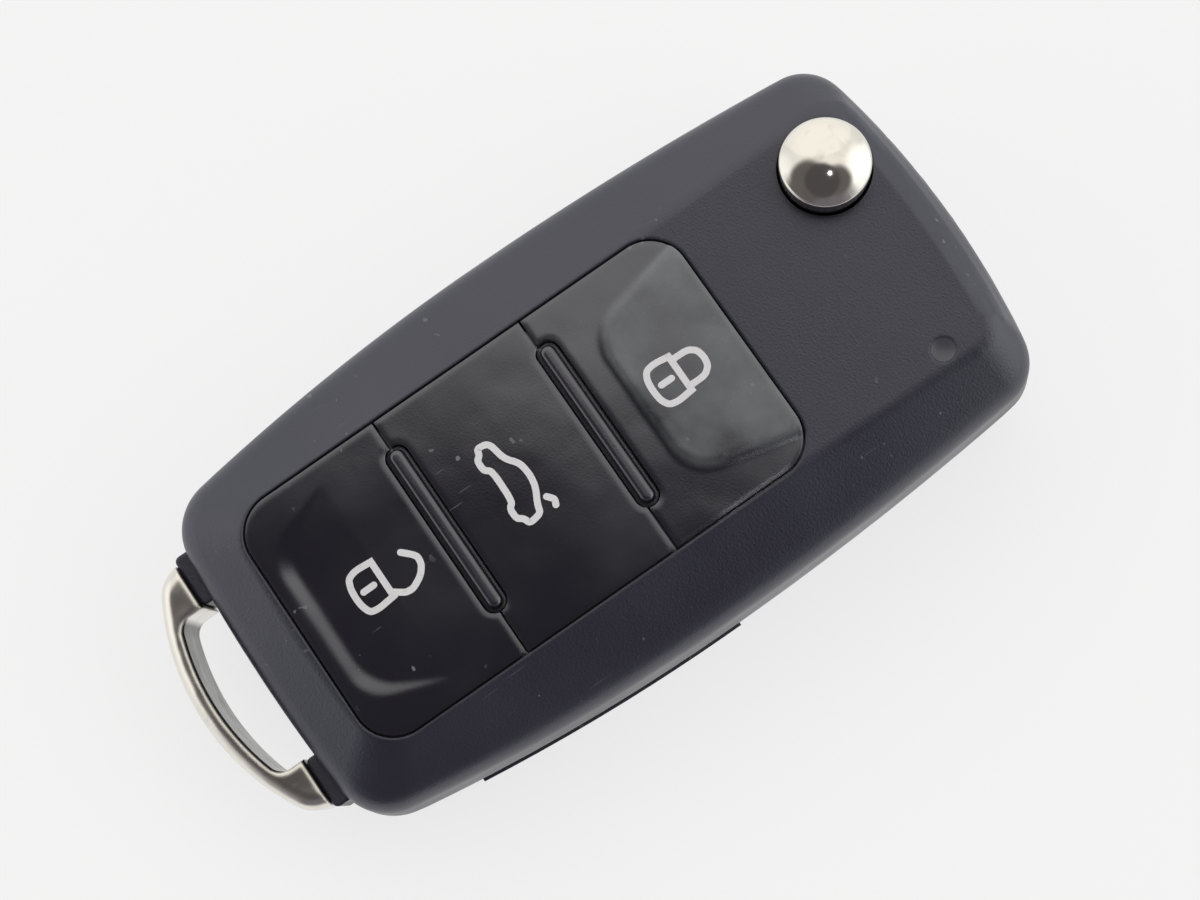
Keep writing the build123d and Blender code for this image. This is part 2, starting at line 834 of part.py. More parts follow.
for name in key_spans:
    with BuildPart() as key:
        with BuildSketch(Plane.XY.offset(cap_bottom)):
            add(key_plan(key_spans[name], 0))
        extrude(amount=case_thickness - cap_bottom)
        with BuildSketch(Plane.XY.offset(cap_bottom)):
            add(key_plan(key_spans[name], key_flange))
        extrude(amount=key_flange_thickness)
        with BuildSketch(Plane.XY.offset(plunger_top)):
            with Locations(key_places[name]):
                Circle(post_radius)
        extrude(amount=cap_bottom - plunger_top)
        if name == "lock":
            add(lock_pad.part)
        if name == "unlock":
            add(dish_wedge.part, mode=Mode.SUBTRACT)
    blocks[f"{name}_button"] = key
    with BuildPart() as plunger:
        with BuildSketch(Plane.XY.offset(plunger_bottom)):
            with Locations(key_places[name]):
                Circle(plunger_radius)
        extrude(amount=plunger_length)
    blocks[f"{name}_switch_plunger"] = plunger

# Keypad mat: sheet on a rim, with post holes and a floor and rib in each pill
with BuildPart() as keypad_mat:
    with BuildSketch(Plane.XY.offset(board_top)):
        with Locations((0, keypad_y)):
            RectangleRounded(
                keypad_width + 2 * mat_margin,
                keypad_length + mat_margin,
                keypad_corner_radius,
            )
    extrude(amount=mat_top - board_top)
    with BuildSketch(Plane.XY.offset(board_top)):
        with Locations((0, keypad_y)):
            RectangleRounded(
                keypad_width + 2 * (mat_margin - mat_rim),
                keypad_length + mat_margin - 2 * mat_rim,
                keypad_corner_radius - mat_rim,
            )
    extrude(amount=mat_bottom - board_top, mode=Mode.SUBTRACT)
    with BuildSketch(Plane.XY.offset(mat_bottom)):
        with Locations(*key_places.values()):
            Circle(post_radius + mat_hole_clearance)
    extrude(amount=mat_thickness, mode=Mode.SUBTRACT)
    with BuildSketch(Plane.XY.offset(mat_top)):
        with Locations(*pill_places):
            SlotOverall(pill_length - 2 * pill_floor_gap, pill_width - 2 * pill_floor_gap)
    extrude(amount=case_thickness - pill_floor_drop - mat_top)
    with BuildSketch(Plane.XY.offset(mat_top)):
        with Locations(*pill_places):
            SlotOverall(pill_length - pill_width + pill_rib_width, pill_rib_width)
    extrude(amount=case_thickness + pill_rib_rise - mat_top)
    fillet(edges_at(keypad_mat, case_thickness + pill_rib_rise), pill_rib_edge)
blocks["keypad_mat"] = keypad_mat

# Circuit board: under the keypad, with an arm that reaches the lamp
with BuildPart() as circuit_board:
    with BuildSketch(Plane.XY.offset(board_height)) as board_plan:
        with BuildLine():
            Polyline(
                (-board_width / 2, board_tail_y),
                (board_width / 2, board_tail_y),
                (board_width / 2, lamp_place[1] + board_past_lamp),
                (board_width / 2 - board_arm_width, lamp_place[1] + board_past_lamp),
                (board_width / 2 - board_arm_width, board_head_y),
                (-board_width / 2, board_head_y),
                close=True,
            )
        make_face()
        fillet(board_plan.vertices(), board_corner_radius)
    extrude(amount=board_thickness)
blocks["circuit_board"] = circuit_board

# Tact switches: one under each key, with a well for its plunger
with BuildPart() as tact_switches:
    with BuildSketch(Plane.XY.offset(board_top)):
        with Locations(*key_places.values()):
            RectangleRounded(switch_size, switch_size, switch_corner_radius)
    extrude(amount=switch_height)
    with BuildSketch(Plane.XY.offset(switch_top - switch_well_depth)):
        with Locations(*key_places.values()):
            Circle(plunger_radius + plunger_clearance)
    extrude(amount=switch_well_depth, mode=Mode.SUBTRACT)
blocks["tact_switches"] = tact_switches

# Controller chip with its leads, under the board
chip_place = (-chip_offset_x, board_head_y - chip_from_board_head)
chip_reach = chip_size / 2 + chip_lead_length / 2
with BuildPart() as controller_chip:
    with BuildSketch(Plane.XY.offset(board_height - chip_thickness)):
        with Locations(chip_place):
            Rectangle(chip_size, chip_size)
    extrude(amount=chip_thickness)
    with BuildSketch(Plane.XY.offset(board_height - chip_lead_width)):
        for side in (-1, 1):
            with Locations((chip_place[0] + side * chip_reach, chip_place[1])):
                with GridLocations(chip_lead_pitch, chip_lead_pitch, 1, chip_leads_per_side):
                    Rectangle(chip_lead_length, chip_lead_width)
            with Locations((chip_place[0], chip_place[1] + side * chip_reach)):
                with GridLocations(chip_lead_pitch, chip_lead_pitch, chip_leads_per_side, 1):
                    Rectangle(chip_lead_width, chip_lead_length)
    extrude(amount=chip_lead_width)
blocks["controller_chip"] = controller_chip

# Crystal and resonator under the board, capacitors on top of it
small_y = board_tail_y + crystal_from_board_tail
with BuildPart() as board_components:
    with BuildSketch(Plane.XY.offset(board_height - crystal_height)):
        with Locations((-crystal_offset_x, small_y)):
            SlotOverall(crystal_length, crystal_width)
    extrude(amount=crystal_height)
    with BuildSketch(Plane.XY.offset(board_height - resonator_height)):
        with Locations((resonator_offset_x, small_y)):
            Rectangle(resonator_size, resonator_size)
    extrude(amount=resonator_height)
    with BuildSketch(Plane.XY.offset(board_top)):
        with Locations((capacitor_offset_x, key_places["boot"][1])):
            with GridLocations(capacitor_pitch, capacitor_pitch, 1, capacitor_count):
                Rectangle(capacitor_length, capacitor_width)
    extrude(amount=capacitor_height)
blocks["board_components"] = board_components

# Transponder coil: bobbin with two end flanges and its winding
coil_place = (coil_offset_x, board_head_y - coil_from_board_head)
with BuildPart() as transponder_coil:
    with BuildSketch(Plane.XY.offset(board_height - coil_height)):
        with Locations(
            (coil_place[0], coil_place[1] - (coil_length - coil_flange) / 2),
            (coil_place[0], coil_place[1] + (coil_length - coil_flange) / 2),
        ):
            Rectangle(coil_width, coil_flange)
    extrude(amount=coil_height)
    with BuildSketch(Plane.XY.offset(board_height - coil_height + coil_winding_inset)):
        with Locations(coil_place):
            Rectangle(coil_width - 2 * coil_winding_inset, coil_length - coil_flange)
    extrude(amount=coil_height - 2 * coil_winding_inset)
blocks["transponder_coil"] = transponder_coil

# Indicator lamp on the board's arm and the light guide above it
with BuildPart() as indicator_led:
    with BuildSketch(Plane.XY.offset(board_top)):
        with Locations(lamp_place):
            Rectangle(lamp_size, lamp_size)
    extrude(amount=lamp_height)
blocks["indicator_led"] = indicator_led

with BuildPart() as led_light_guide:
    with BuildSketch(Plane.XY.offset(board_top + lamp_height + guide_lamp_gap)):
        with Locations(lamp_place):
            Circle(guide_radius)
    extrude(amount=case_thickness - board_top - lamp_height - guide_lamp_gap)
    with BuildSketch(Plane.XY.offset(ceiling_height - guide_flange_thickness)):
        with Locations(lamp_place):
            Circle(guide_flange_radius)
    extrude(amount=guide_flange_thickness)
    with Locations((*lamp_place, case_thickness + guide_dish_radius - guide_dish_depth)):
        Sphere(guide_dish_radius, mode=Mode.SUBTRACT)
blocks["led_light_guide"] = led_light_guide

# Coin cell: can with its smaller cap toward the board
with BuildPart() as battery_cell:
    with BuildSketch(Plane.XY.offset(cell_height)):
        add(coin_profile(cell_radius))
    extrude(amount=cell_thickness - cell_step_height)
    fillet(battery_cell.edges().filter_by(GeomType.CIRCLE), cell_edge)
    with BuildSketch(Plane.XY.offset(cell_top - 2 * cell_step_height)):
        add(coin_profile(cell_radius - cell_rim_step))
    extrude(amount=2 * cell_step_height)
blocks["battery_cell"] = battery_cell

# Contacts: bent spring strips from the board to the cell
foot_height = board_height - contact_thickness / 2
with BuildPart() as battery_contact_negative:
    with BuildSketch(Plane.XZ.offset(-cell_place[1])):
        with BuildLine():
            FilletPolyline(
                (cell_place[0] - contact_run / 2 - contact_foot, foot_height),
                (cell_place[0] - contact_run / 2, foot_height),
                (cell_place[0] + contact_run / 2, cell_top + contact_thickness / 2),
                (cell_place[0] + contact_run / 2 + contact_tip, cell_top + contact_thickness / 2),
                radius=contact_bend,
            )
        trace(line_width=contact_thickness)
    extrude(amount=contact_width / 2, both=True)
blocks["battery_contact_negative"] = battery_contact_negative

leg_y = cell_tail_y - contact_thickness / 2
with BuildPart() as battery_contact_positive:
    with BuildSketch(Plane.YZ.offset(cell_place[0])):
        with BuildLine():
            FilletPolyline(
                (leg_y - contact_foot, foot_height),
                (leg_y, foot_height),
                (leg_y, cell_height + cell_edge),
                radius=contact_bend,
            )
        trace(line_width=contact_thickness)
    extrude(amount=contact_width / 2, both=True)
blocks["battery_contact_positive"] = battery_contact_positive

# Blade: flat bar with a pointed tip, a winding track in each face and a tang
blade_middle = (blade_root_y + blade_tip_y) / 2
tang_bottom = hub_bottom + (hub_thickness - tang_thickness) / 2
pin_place = (folded_x, blade_root_y + pin_from_root)
track_head_y = blade_root_y - track_start
track_step = (blade_length - track_start - track_end) / track_steps
track_points = [
    (folded_x + track_swing * (-1) ** step, track_head_y - step * track_step)
    for step in range(track_steps + 1)
]
with BuildSketch() as track:
    with BuildLine():
        FilletPolyline(*track_points, radius=track_bend)
    trace(line_width=track_width)
with BuildPart() as key_blade:
    with BuildSketch(Plane.XY.offset(blade_bottom)) as blade_plan:
        with Locations((folded_x, blade_middle)):
            Rectangle(blade_width, blade_length)
        chamfer(blade_plan.vertices().group_by(Axis.Y)[0], blade_tip_chamfer)
    extrude(amount=blade_thickness)
    chamfer(key_blade.edges().filter_by(Axis.Y), blade_edge)
    with BuildSketch(Plane.XY.offset(blade_bottom + blade_thickness - track_depth)):
        add(track.sketch)
    extrude(amount=track_depth, mode=Mode.SUBTRACT)
    with BuildSketch(Plane.XY.offset(blade_bottom)):
        add(track.sketch)
    extrude(amount=track_depth, mode=Mode.SUBTRACT)
    with BuildSketch(Plane.XY.offset(tang_bottom)):
        with Locations((folded_x, blade_root_y)):
            Rectangle(tang_width, tang_length, align=(Align.CENTER, Align.MIN))
    extrude(amount=tang_thickness)
    with BuildSketch(Plane.XY.offset(tang_bottom)):
        with Locations(pin_place):
            Circle(pin_radius)
    extrude(amount=tang_thickness, mode=Mode.SUBTRACT)
blocks["key_blade"] = key_blade

with BuildPart() as blade_pin:
    with BuildSketch(Plane.XY.offset(hub_bottom)):
        with Locations(pin_place):
            Circle(pin_radius)
    extrude(amount=hub_thickness)
blocks["blade_pin"] = blade_pin

# Hub: disc and arm that hold the blade, two journals and the spring bore
with BuildPart() as blade_hub:
    with BuildSketch(Plane.XY.offset(hub_bottom)):
        add(hub_plan(0))
    extrude(amount=hub_thickness)
    with BuildSketch(Plane.XY.offset(hub_bottom - lower_journal_length)):
        with Locations(pivot):
            Circle(lower_journal_radius)
    extrude(amount=lower_journal_length)
    with BuildSketch(Plane.XY.offset(hub_top)):
        with Locations(pivot):
            Circle(upper_journal_radius)
    extrude(amount=upper_journal_length)
    with BuildSketch(Plane.XY.offset(hub_floor)):
        with Locations(pivot):
            Circle(hub_bore_radius)
    extrude(amount=journal_top - hub_floor, mode=Mode.SUBTRACT)
    with BuildSketch(Plane.XY.offset(lug_bottom - button_travel - lug_slot_gap)):
        with Locations(pivot):
            Rectangle(2 * hub_radius, lug_width + 2 * lug_slot_gap)
    extrude(amount=upper_journal_length + button_travel, mode=Mode.SUBTRACT)
    with BuildSketch(Plane.XY.offset(tang_bottom)):
        with Locations((folded_x, blade_root_y)):
            Rectangle(tang_width, tang_length, align=(Align.CENTER, Align.MIN))
    extrude(amount=tang_thickness, mode=Mode.SUBTRACT)
    with BuildSketch(Plane.XY.offset(hub_bottom)):
        with Locations(pin_place):
            Circle(pin_radius)
    extrude(amount=hub_thickness, mode=Mode.SUBTRACT)
blocks["blade_hub"] = blade_hub

# Release plunger: spool in the hub's bore, with a lug in each journal slot
with BuildPart() as release_plunger:
    with BuildSketch(Plane.XY.offset(spool_bottom)):
        with Locations(pivot):
            Circle(hub_bore_radius - stem_clearance)
    extrude(amount=spool_height)
    with BuildSketch(Plane.XY.offset(lug_bottom)):
        with Locations(pivot):
            Rectangle(2 * upper_journal_radius, lug_width)
            Circle(upper_journal_radius - lug_reach, mode=Mode.INTERSECT)
    extrude(amount=lug_height)
blocks["release_plunger"] = release_plunger

# Release button: domed cap on a stem that stands on the plunger
button_top = case_thickness + button_rise
with BuildPart() as release_button:
    with BuildSketch(pivot_section) as button_profile:
        with BuildLine():
            Polyline(
                (0, button_top),
                (0, spool_top),
                (stem_radius, spool_top),
                (stem_radius, cap_seat),
                (button_radius, cap_seat),
                (button_radius, button_top - button_dome_rise),
            )
            TangentArc(
                (0, button_top),
                (button_radius, button_top - button_dome_rise),
                tangent=(1, 0),
            )
        make_face()
        fillet(
            button_profile.vertices().sort_by_distance(
                (button_radius, button_top - button_dome_rise)
            )[0],
            button_edge_radius,
        )
    revolve(axis=pivot_axis)
blocks["release_button"] = release_button

# Flip spring: round wire coil between the hub's bore floor and the plunger
coil_radius = hub_bore_radius - spring_side_gap - spring_wire_radius
coil_rise = spool_bottom - hub_floor - 2 * spring_wire_radius
with BuildPart() as flip_spring:
    with BuildLine() as spring_line:
        Helix(
            pitch=coil_rise / spring_turns,
            height=coil_rise,
            radius=coil_radius,
            center=(*pivot, hub_floor + spring_wire_radius),
        )
    with BuildSketch(Plane(origin=spring_line.line @ 0, z_dir=spring_line.line % 0)):
        Circle(spring_wire_radius)
    sweep()
blocks["flip_spring"] = flip_spring

# Key ring loop: crowned strap on two feet, with a holed tongue behind each foot
loop_corner = (loop_corner_width / 2, loop_tip_y + loop_corner_rise)
loop_inner_corner = (loop_foot_inner / 2, loop_tip_y + loop_strap + loop_inner_rise)
with BuildPart() as key_ring_loop:
    with BuildSketch(Plane.XY.offset(loop_bottom)) as loop_plan:
        with BuildLine():
            TangentArc((0, loop_tip_y), loop_corner, tangent=(1, 0))
            Line(loop_corner, (loop_foot_outer / 2, loop_foot_y))
            Line((loop_foot_outer / 2, loop_foot_y), (0, loop_foot_y))
            mirror(about=Plane.YZ)
        make_face()
        fillet(loop_plan.vertices().group_by(Axis.Y)[0], loop_corner_radius)
    extrude(amount=loop_height)
    rims = edges_at(key_ring_loop, loop_bottom)
    rims = rims + edges_at(key_ring_loop, loop_bottom + loop_height)
    fillet([edge for row in rims.group_by(Axis.Y)[:-1] for edge in row], loop_crown_radius)
    with BuildSketch(Plane.XY.offset(loop_bottom)) as loop_room:
        with BuildLine():
            TangentArc((0, loop_tip_y + loop_strap), loop_inner_corner, tangent=(1, 0))
            Line(loop_inner_corner, (loop_foot_inner / 2, tail_y))
            Line((loop_foot_inner / 2, tail_y), (0, tail_y))
            mirror(about=Plane.YZ)
        make_face()
        fillet(loop_room.vertices().group_by(Axis.Y)[0], loop_inner_radius)
    extrude(amount=loop_height, mode=Mode.SUBTRACT)
    fillet(
        edges_at(key_ring_loop, loop_bottom) + edges_at(key_ring_loop, loop_bottom + loop_height),
        loop_edge,
    )
    with BuildSketch(Plane.XY.offset(tongue_bottom)):
        add(tongues)
    extrude(amount=tongue_height)
    with BuildSketch(Plane.XY.offset(tongue_bottom)):
        with Locations(*peg_places):
            Circle(peg_radius + peg_clearance)
    extrude(amount=tongue_height, mode=Mode.SUBTRACT)
blocks["key_ring_loop"] = key_ring_loop

# Case screws: from the rear shell's web into the front shell's bosses
screw_seat = cover_height + screw_head_height + screw_clearance
with BuildPart() as case_screws:
    with BuildSketch(Plane.XY.offset(screw_seat - screw_head_height)):
        with Locations(*screw_places):
            Circle(screw_head_radius)
    extrude(amount=screw_head_height)
    with BuildSketch(Plane.XY.offset(screw_seat)):
        with Locations(*screw_places):
            Circle(screw_radius)
    extrude(amount=parting_height + screw_grip - screw_seat)
blocks["case_screws"] = case_screws

os.makedirs("parts", exist_ok=True)
for name, block in blocks.items():
    block.part.label = name
    export_step(block.part, f"parts/{name}.step")
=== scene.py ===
"""Looks of a folding car key fob: plastics, chrome, key symbols, inner parts and stage."""
import math

import bpy
import numpy as np
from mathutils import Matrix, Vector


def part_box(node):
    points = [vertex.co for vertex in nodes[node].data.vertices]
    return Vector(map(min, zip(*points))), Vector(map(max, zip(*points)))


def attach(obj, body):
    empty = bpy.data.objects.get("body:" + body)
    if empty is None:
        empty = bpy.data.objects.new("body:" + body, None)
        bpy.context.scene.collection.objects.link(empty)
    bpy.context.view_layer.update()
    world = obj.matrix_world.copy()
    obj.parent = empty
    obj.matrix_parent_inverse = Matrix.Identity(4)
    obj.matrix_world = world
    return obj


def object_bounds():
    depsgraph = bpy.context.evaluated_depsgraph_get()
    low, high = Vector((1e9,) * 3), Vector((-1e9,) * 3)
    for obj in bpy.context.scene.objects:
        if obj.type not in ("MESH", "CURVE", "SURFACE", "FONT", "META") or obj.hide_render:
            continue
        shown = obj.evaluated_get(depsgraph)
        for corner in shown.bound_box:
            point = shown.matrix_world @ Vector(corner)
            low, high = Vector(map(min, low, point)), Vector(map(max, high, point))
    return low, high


bl_info = {
    "name": "Folding Car Key Finishes",
    "version": (1, 0, 0),
    "blender": (4, 5, 0),
    "location": "View3D > Sidebar > Car Key",
    "description": "Finishes, key symbols, small fittings and studio for a folding car key",
    "category": "Object",
}

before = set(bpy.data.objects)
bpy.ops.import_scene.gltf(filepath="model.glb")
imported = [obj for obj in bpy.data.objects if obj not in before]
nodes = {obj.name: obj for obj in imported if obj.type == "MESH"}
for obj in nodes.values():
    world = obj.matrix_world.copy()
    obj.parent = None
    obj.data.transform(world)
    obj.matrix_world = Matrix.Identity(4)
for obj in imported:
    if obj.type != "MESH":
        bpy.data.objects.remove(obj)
cad_low, cad_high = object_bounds()
MM = 0.001


def colour_property(name, description, default):
    """A colour property with the usual range."""
    return bpy.props.FloatVectorProperty(
        name=name, description=description, subtype="COLOR", size=3, min=0, max=1, default=default
    )


def length_property(name, description, default_mm):
    """A length property, which is stored in metres; its default is given in millimetres."""
    return bpy.props.FloatProperty(
        name=name,
        description=description,
        default=default_mm * MM,
        subtype="DISTANCE",
        unit="LENGTH",
        precision=5,
    )


def strength_property(name, description, default):
    """A property for the strength of a light."""
    return bpy.props.FloatProperty(name=name, description=description, default=default)


class CarKeyColours(bpy.types.PropertyGroup):
    """Colours of the plastics, metals and painted symbols."""

    shell: colour_property("Shell", "Moulded black plastic of the case", (0.014, 0.013, 0.026))
    cover: colour_property("Battery cover", "Black plastic of the cover", (0.015, 0.014, 0.026))
    keys: colour_property("Keys", "Semi-gloss black of the keys", (0.006, 0.0055, 0.010))
    # Paler colour of the raised lock pad: a painted highlight, on a pad that is also worn
    pad_sheen_and_wear: colour_property("Rubbed", "Paler black of the lock key's worn pad", (0.120, 0.132, 0.135))
    dust: colour_property("Dust", "Pale specks and scuffs on the plastics", (0.30, 0.30, 0.32))
    symbols: colour_property("Symbols", "White paint of the key symbols", (0.93, 0.92, 0.94))
    chrome: colour_property("Chrome", "Warm bright plating", (0.82, 0.79, 0.72))
    steel: colour_property("Blade steel", "Nickel plated blade", (0.62, 0.61, 0.58))
    floor: colour_property("Floor", "Pale table top", (0.95, 0.955, 0.97))


class CarKeySizes(bpy.types.PropertyGroup):
    """Sizes of the symbols and of the surface grain."""

    stroke: length_property("Symbol stroke", "Width of a painted line", 0.56)
    paint: length_property("Paint", "Height of the paint above the key", 0.035)
    grain: length_property("Grain", "Distance between two grains of the moulded surface", 0.20)
    speck: length_property("Speck", "Distance between two specks of dust", 0.9)


class CarKeyStudio(bpy.types.PropertyGroup):
    """Levels of the lamps and of the world."""

    key_light: strength_property("Key light", "Strength of the large lamp", 0.2)
    small_light: strength_property("Small light", "Strength of the small lamp", 0.03)
    world: strength_property("World", "Strength of the world", 1.0)


def colours():
    """The scene's colour settings."""
    return bpy.context.scene.car_key_colours


def sizes():
    """The scene's size settings."""
    return bpy.context.scene.car_key_sizes


def toned(colour, share):
    """A colour with each channel multiplied by a share."""
    return tuple(channel * share for channel in colour)


def typed(sockets, kind):
    """The sockets of one type, in their order."""
    return [socket for socket in sockets if socket.type == kind]


def add_node(tree, kind, **settings):
    """A new node with the given settings; what is no setting is an input, with _ for a space."""
    node = tree.nodes.new(kind)
    for key, value in settings.items():
        if hasattr(node, key):
            setattr(node, key, value)
        else:
            node.inputs[key.replace("_", " ")].default_value = value
    return node


# Samples of the node that makes edges look rounded
EDGE_SAMPLES = 6


class Finish:
    """A node material with short helpers for its graph."""

    def __init__(self, name, colour, roughness, metallic=0.0):
        self.material = bpy.data.materials.new(name)
        self.material.use_nodes = True
        self.tree = self.material.node_tree
        self.shader = self.tree.nodes["Principled BSDF"]
        self.shader.inputs["Base Color"].default_value = (*colour, 1)
        self.shader.inputs["Roughness"].default_value = roughness
        self.shader.inputs["Metallic"].default_value = metallic
        self.material.diffuse_color = (*colour, 1)
        self.place = self.add("ShaderNodeTexCoord").outputs["Object"]

    def add(self, kind, **settings):
        """A new node in this material's graph."""
        return add_node(self.tree, kind, **settings)

    def join(self, source, target):
        """Joins an output to an input."""
        self.tree.links.new(source, target)

    def feed(self, value, socket):
        """Joins an output to a socket, or sets the socket to a number or colour."""
        if isinstance(value, bpy.types.NodeSocket):
            self.join(value, socket)
        elif socket.type == "RGBA":
            socket.default_value = (*value, 1)
        else:
            socket.default_value = value

    def colour_by(self, value):
        """Takes the base colour from an output."""
        self.join(value, self.shader.inputs["Base Color"])

    def roughness_by(self, value):
        """Takes the roughness from an output."""
        self.join(value, self.shader.inputs["Roughness"])

    def stretched(self, scale, turn=0.0):
        """Object coordinates scaled along each axis and turned about Z."""
        mapping = self.add("ShaderNodeMapping", Scale=scale, Rotation=(0, 0, turn))
        self.join(self.place, mapping.inputs["Vector"])
        return mapping.outputs["Vector"]

    def noise(self, spacing, detail=2.0, place=None, roughness=0.5):
        """Noise whose features stand about one spacing apart, from 0 to 1."""
        node = self.add("ShaderNodeTexNoise", Scale=1 / spacing, Detail=detail, Roughness=roughness)
        self.join(place or self.place, node.inputs["Vector"])
        return node.outputs["Fac"]

    def ramp(self, value, low, high, start=0.0, end=1.0):
        """A value brought from low and high to start and end, and held there."""
        node = self.add("ShaderNodeMapRange", From_Min=low, From_Max=high, To_Min=start, To_Max=end)
        self.join(value, node.inputs["Value"])
        return node.outputs["Result"]

    def mix(self, share, first, second):
        """Two colours mixed by a share; each is a colour or an output."""
        node = self.add("ShaderNodeMix", data_type="RGBA")
        self.join(share, node.inputs["Factor"])
        for colour, socket in zip((first, second), typed(node.inputs, "RGBA")):
            self.feed(colour, socket)
        return typed(node.outputs, "RGBA")[0]

    def maths(self, operation, first, second):
        """One operation on two values; each is a number or an output."""
        node = self.add("ShaderNodeMath", operation=operation)
        self.feed(first, node.inputs[0])
        self.feed(second, node.inputs[1])
        return node.outputs[0]

    def levelled_edges(self, radius, level):
        """The surface's normal with edges rounded by a radius, brought towards the top by a share."""
        bevel = self.add("ShaderNodeBevel", samples=EDGE_SAMPLES, Radius=radius)
        top = self.add(
            "ShaderNodeVectorTransform", vector_type="NORMAL", convert_from="OBJECT", convert_to="WORLD"
        )
        top.inputs[0].default_value = (0, 0, 1)
        gentler = self.add("ShaderNodeMix", data_type="VECTOR")
        gentler.inputs["Factor"].default_value = level
        steep, flat = typed(gentler.inputs, "VECTOR")[-2:]
        self.join(bevel.outputs["Normal"], steep)
        self.join(top.outputs[0], flat)
        unit = self.add("ShaderNodeVectorMath", operation="NORMALIZE")
        self.join(typed(gentler.outputs, "VECTOR")[0], unit.inputs[0])
        return unit.outputs[0]

    def bump(self, height, distance, strength=1.0, rounding=0.0, level=0.0, wave=None):
        """Height output as small relief on the surface.

        Edges look rounded by a radius, and slopes look gentler by a share brought towards the top.
        With wave, a height output and its distance, the surface is slightly uneven as well.
        """
        relief = self.add("ShaderNodeBump", Distance=distance, Strength=strength)
        self.join(height, relief.inputs["Height"])
        self.join(relief.outputs["Normal"], self.shader.inputs["Normal"])
        if wave:
            uneven, depth = wave
            broad = self.add("ShaderNodeBump", Distance=depth)
            self.join(uneven, broad.inputs["Height"])
            self.join(broad.outputs["Normal"], relief.inputs["Normal"])
            relief = broad
        if rounding:
            self.join(self.levelled_edges(rounding, level), relief.inputs["Normal"])


# Plastics: spacings, rises and depths in metres; levels are the noise values where a mark
# starts and is full; shares are parts of one
DRIFT_SPACING = 0.012
DRIFT_LEVELS = (0.3, 0.7)
DRIFT_LIGHTER = 1.35
DRIFT_SMOOTHER = 0.05
DRIFT_ROUGHER = 0.07
GRAIN_DETAIL = 3.0
PATCH_SPACING = 0.008
PATCH_LEVELS = (0.50, 0.64)
SPECK_LEVELS = (0.75, 0.77)
SCRATCH_SPACING = 0.00025
SCRATCH_STRETCH = (1, 0.06, 1)
SCRATCH_TURNS = (0.5, 2.1)
SCRATCH_LEVELS = (0.83, 0.86)
SCRATCH_SHARE = 0.45
MARK_DULLNESS = 0.2
UNEVEN_SPACING = 0.006
UNEVEN_DEPTH = 0.00005
UNEVEN_DETAIL = 1.5
SOFT_NOISE = 0.4
SPECULAR_TINT = (0.91, 0.92, 1.0)
SPECULAR_LEVEL = 1.0

# Top of the lock key's raised pad: a painted highlight that makes it paler, with real wear that makes it
# duller and powdered
PAD_SHEEN_RISE = 0.0003
RUBBED_DULLNESS = 0.20
CLOUD_SPACING = 0.007
CLOUD_DETAIL = 5.0
CLOUD_LEVELS = (0.38, 0.64)
CLOUD_LEAST = 0.12
POWDER_SPACING = 0.00035
POWDER_LEVELS = (0.66, 0.72)
POWDER_PATCH_SPACING = 0.004
POWDER_PATCH_LEVELS = (0.52, 0.66)
POWDER_SHARE = 0.5


def wear_marks(finish, wear):
    """Dust specks and fine scratches, both in patches, as a share scaled by the wear."""
    patches = finish.ramp(finish.noise(PATCH_SPACING), *PATCH_LEVELS)
    speck_noise = finish.noise(sizes().speck, detail=1.0, roughness=SOFT_NOISE)
    specks = finish.maths("MULTIPLY", finish.ramp(speck_noise, *SPECK_LEVELS), patches)
    lines = []
    for turn in SCRATCH_TURNS:
        place = finish.stretched(SCRATCH_STRETCH, turn)
        lines.append(finish.ramp(finish.noise(SCRATCH_SPACING, detail=0.0, place=place), *SCRATCH_LEVELS))
    scratches = finish.maths("MULTIPLY", finish.maths("MAXIMUM", *lines), patches)
    marks = finish.maths("MAXIMUM", specks, finish.maths("MULTIPLY", scratches, SCRATCH_SHARE))
    return finish.maths("MULTIPLY", marks, wear)


def pad_sheen_and_wear_share(finish, start):
    """How much painted highlight and wear each place has: none below a height, and soft clouds above it.
    """
    height = finish.add("ShaderNodeSeparateXYZ")
    finish.join(finish.place, height.inputs["Vector"])
    high = finish.ramp(height.outputs["Z"], start, start + PAD_SHEEN_RISE)
    cloud_noise = finish.noise(CLOUD_SPACING, detail=CLOUD_DETAIL)
    return finish.maths("MULTIPLY", high, finish.ramp(cloud_noise, *CLOUD_LEVELS, CLOUD_LEAST, 1.0))


def powder_marks(finish, pad_sheen_and_wear):
    """Fine pale powder in patches on the raised top, within the given share."""
    powder = finish.ramp(finish.noise(POWDER_SPACING, detail=1.0), *POWDER_LEVELS)
    patches = finish.ramp(finish.noise(POWDER_PATCH_SPACING), *POWDER_PATCH_LEVELS)
    powder = finish.maths("MULTIPLY", finish.maths("MULTIPLY", powder, patches), pad_sheen_and_wear)
    return finish.maths("MULTIPLY", powder, POWDER_SHARE)


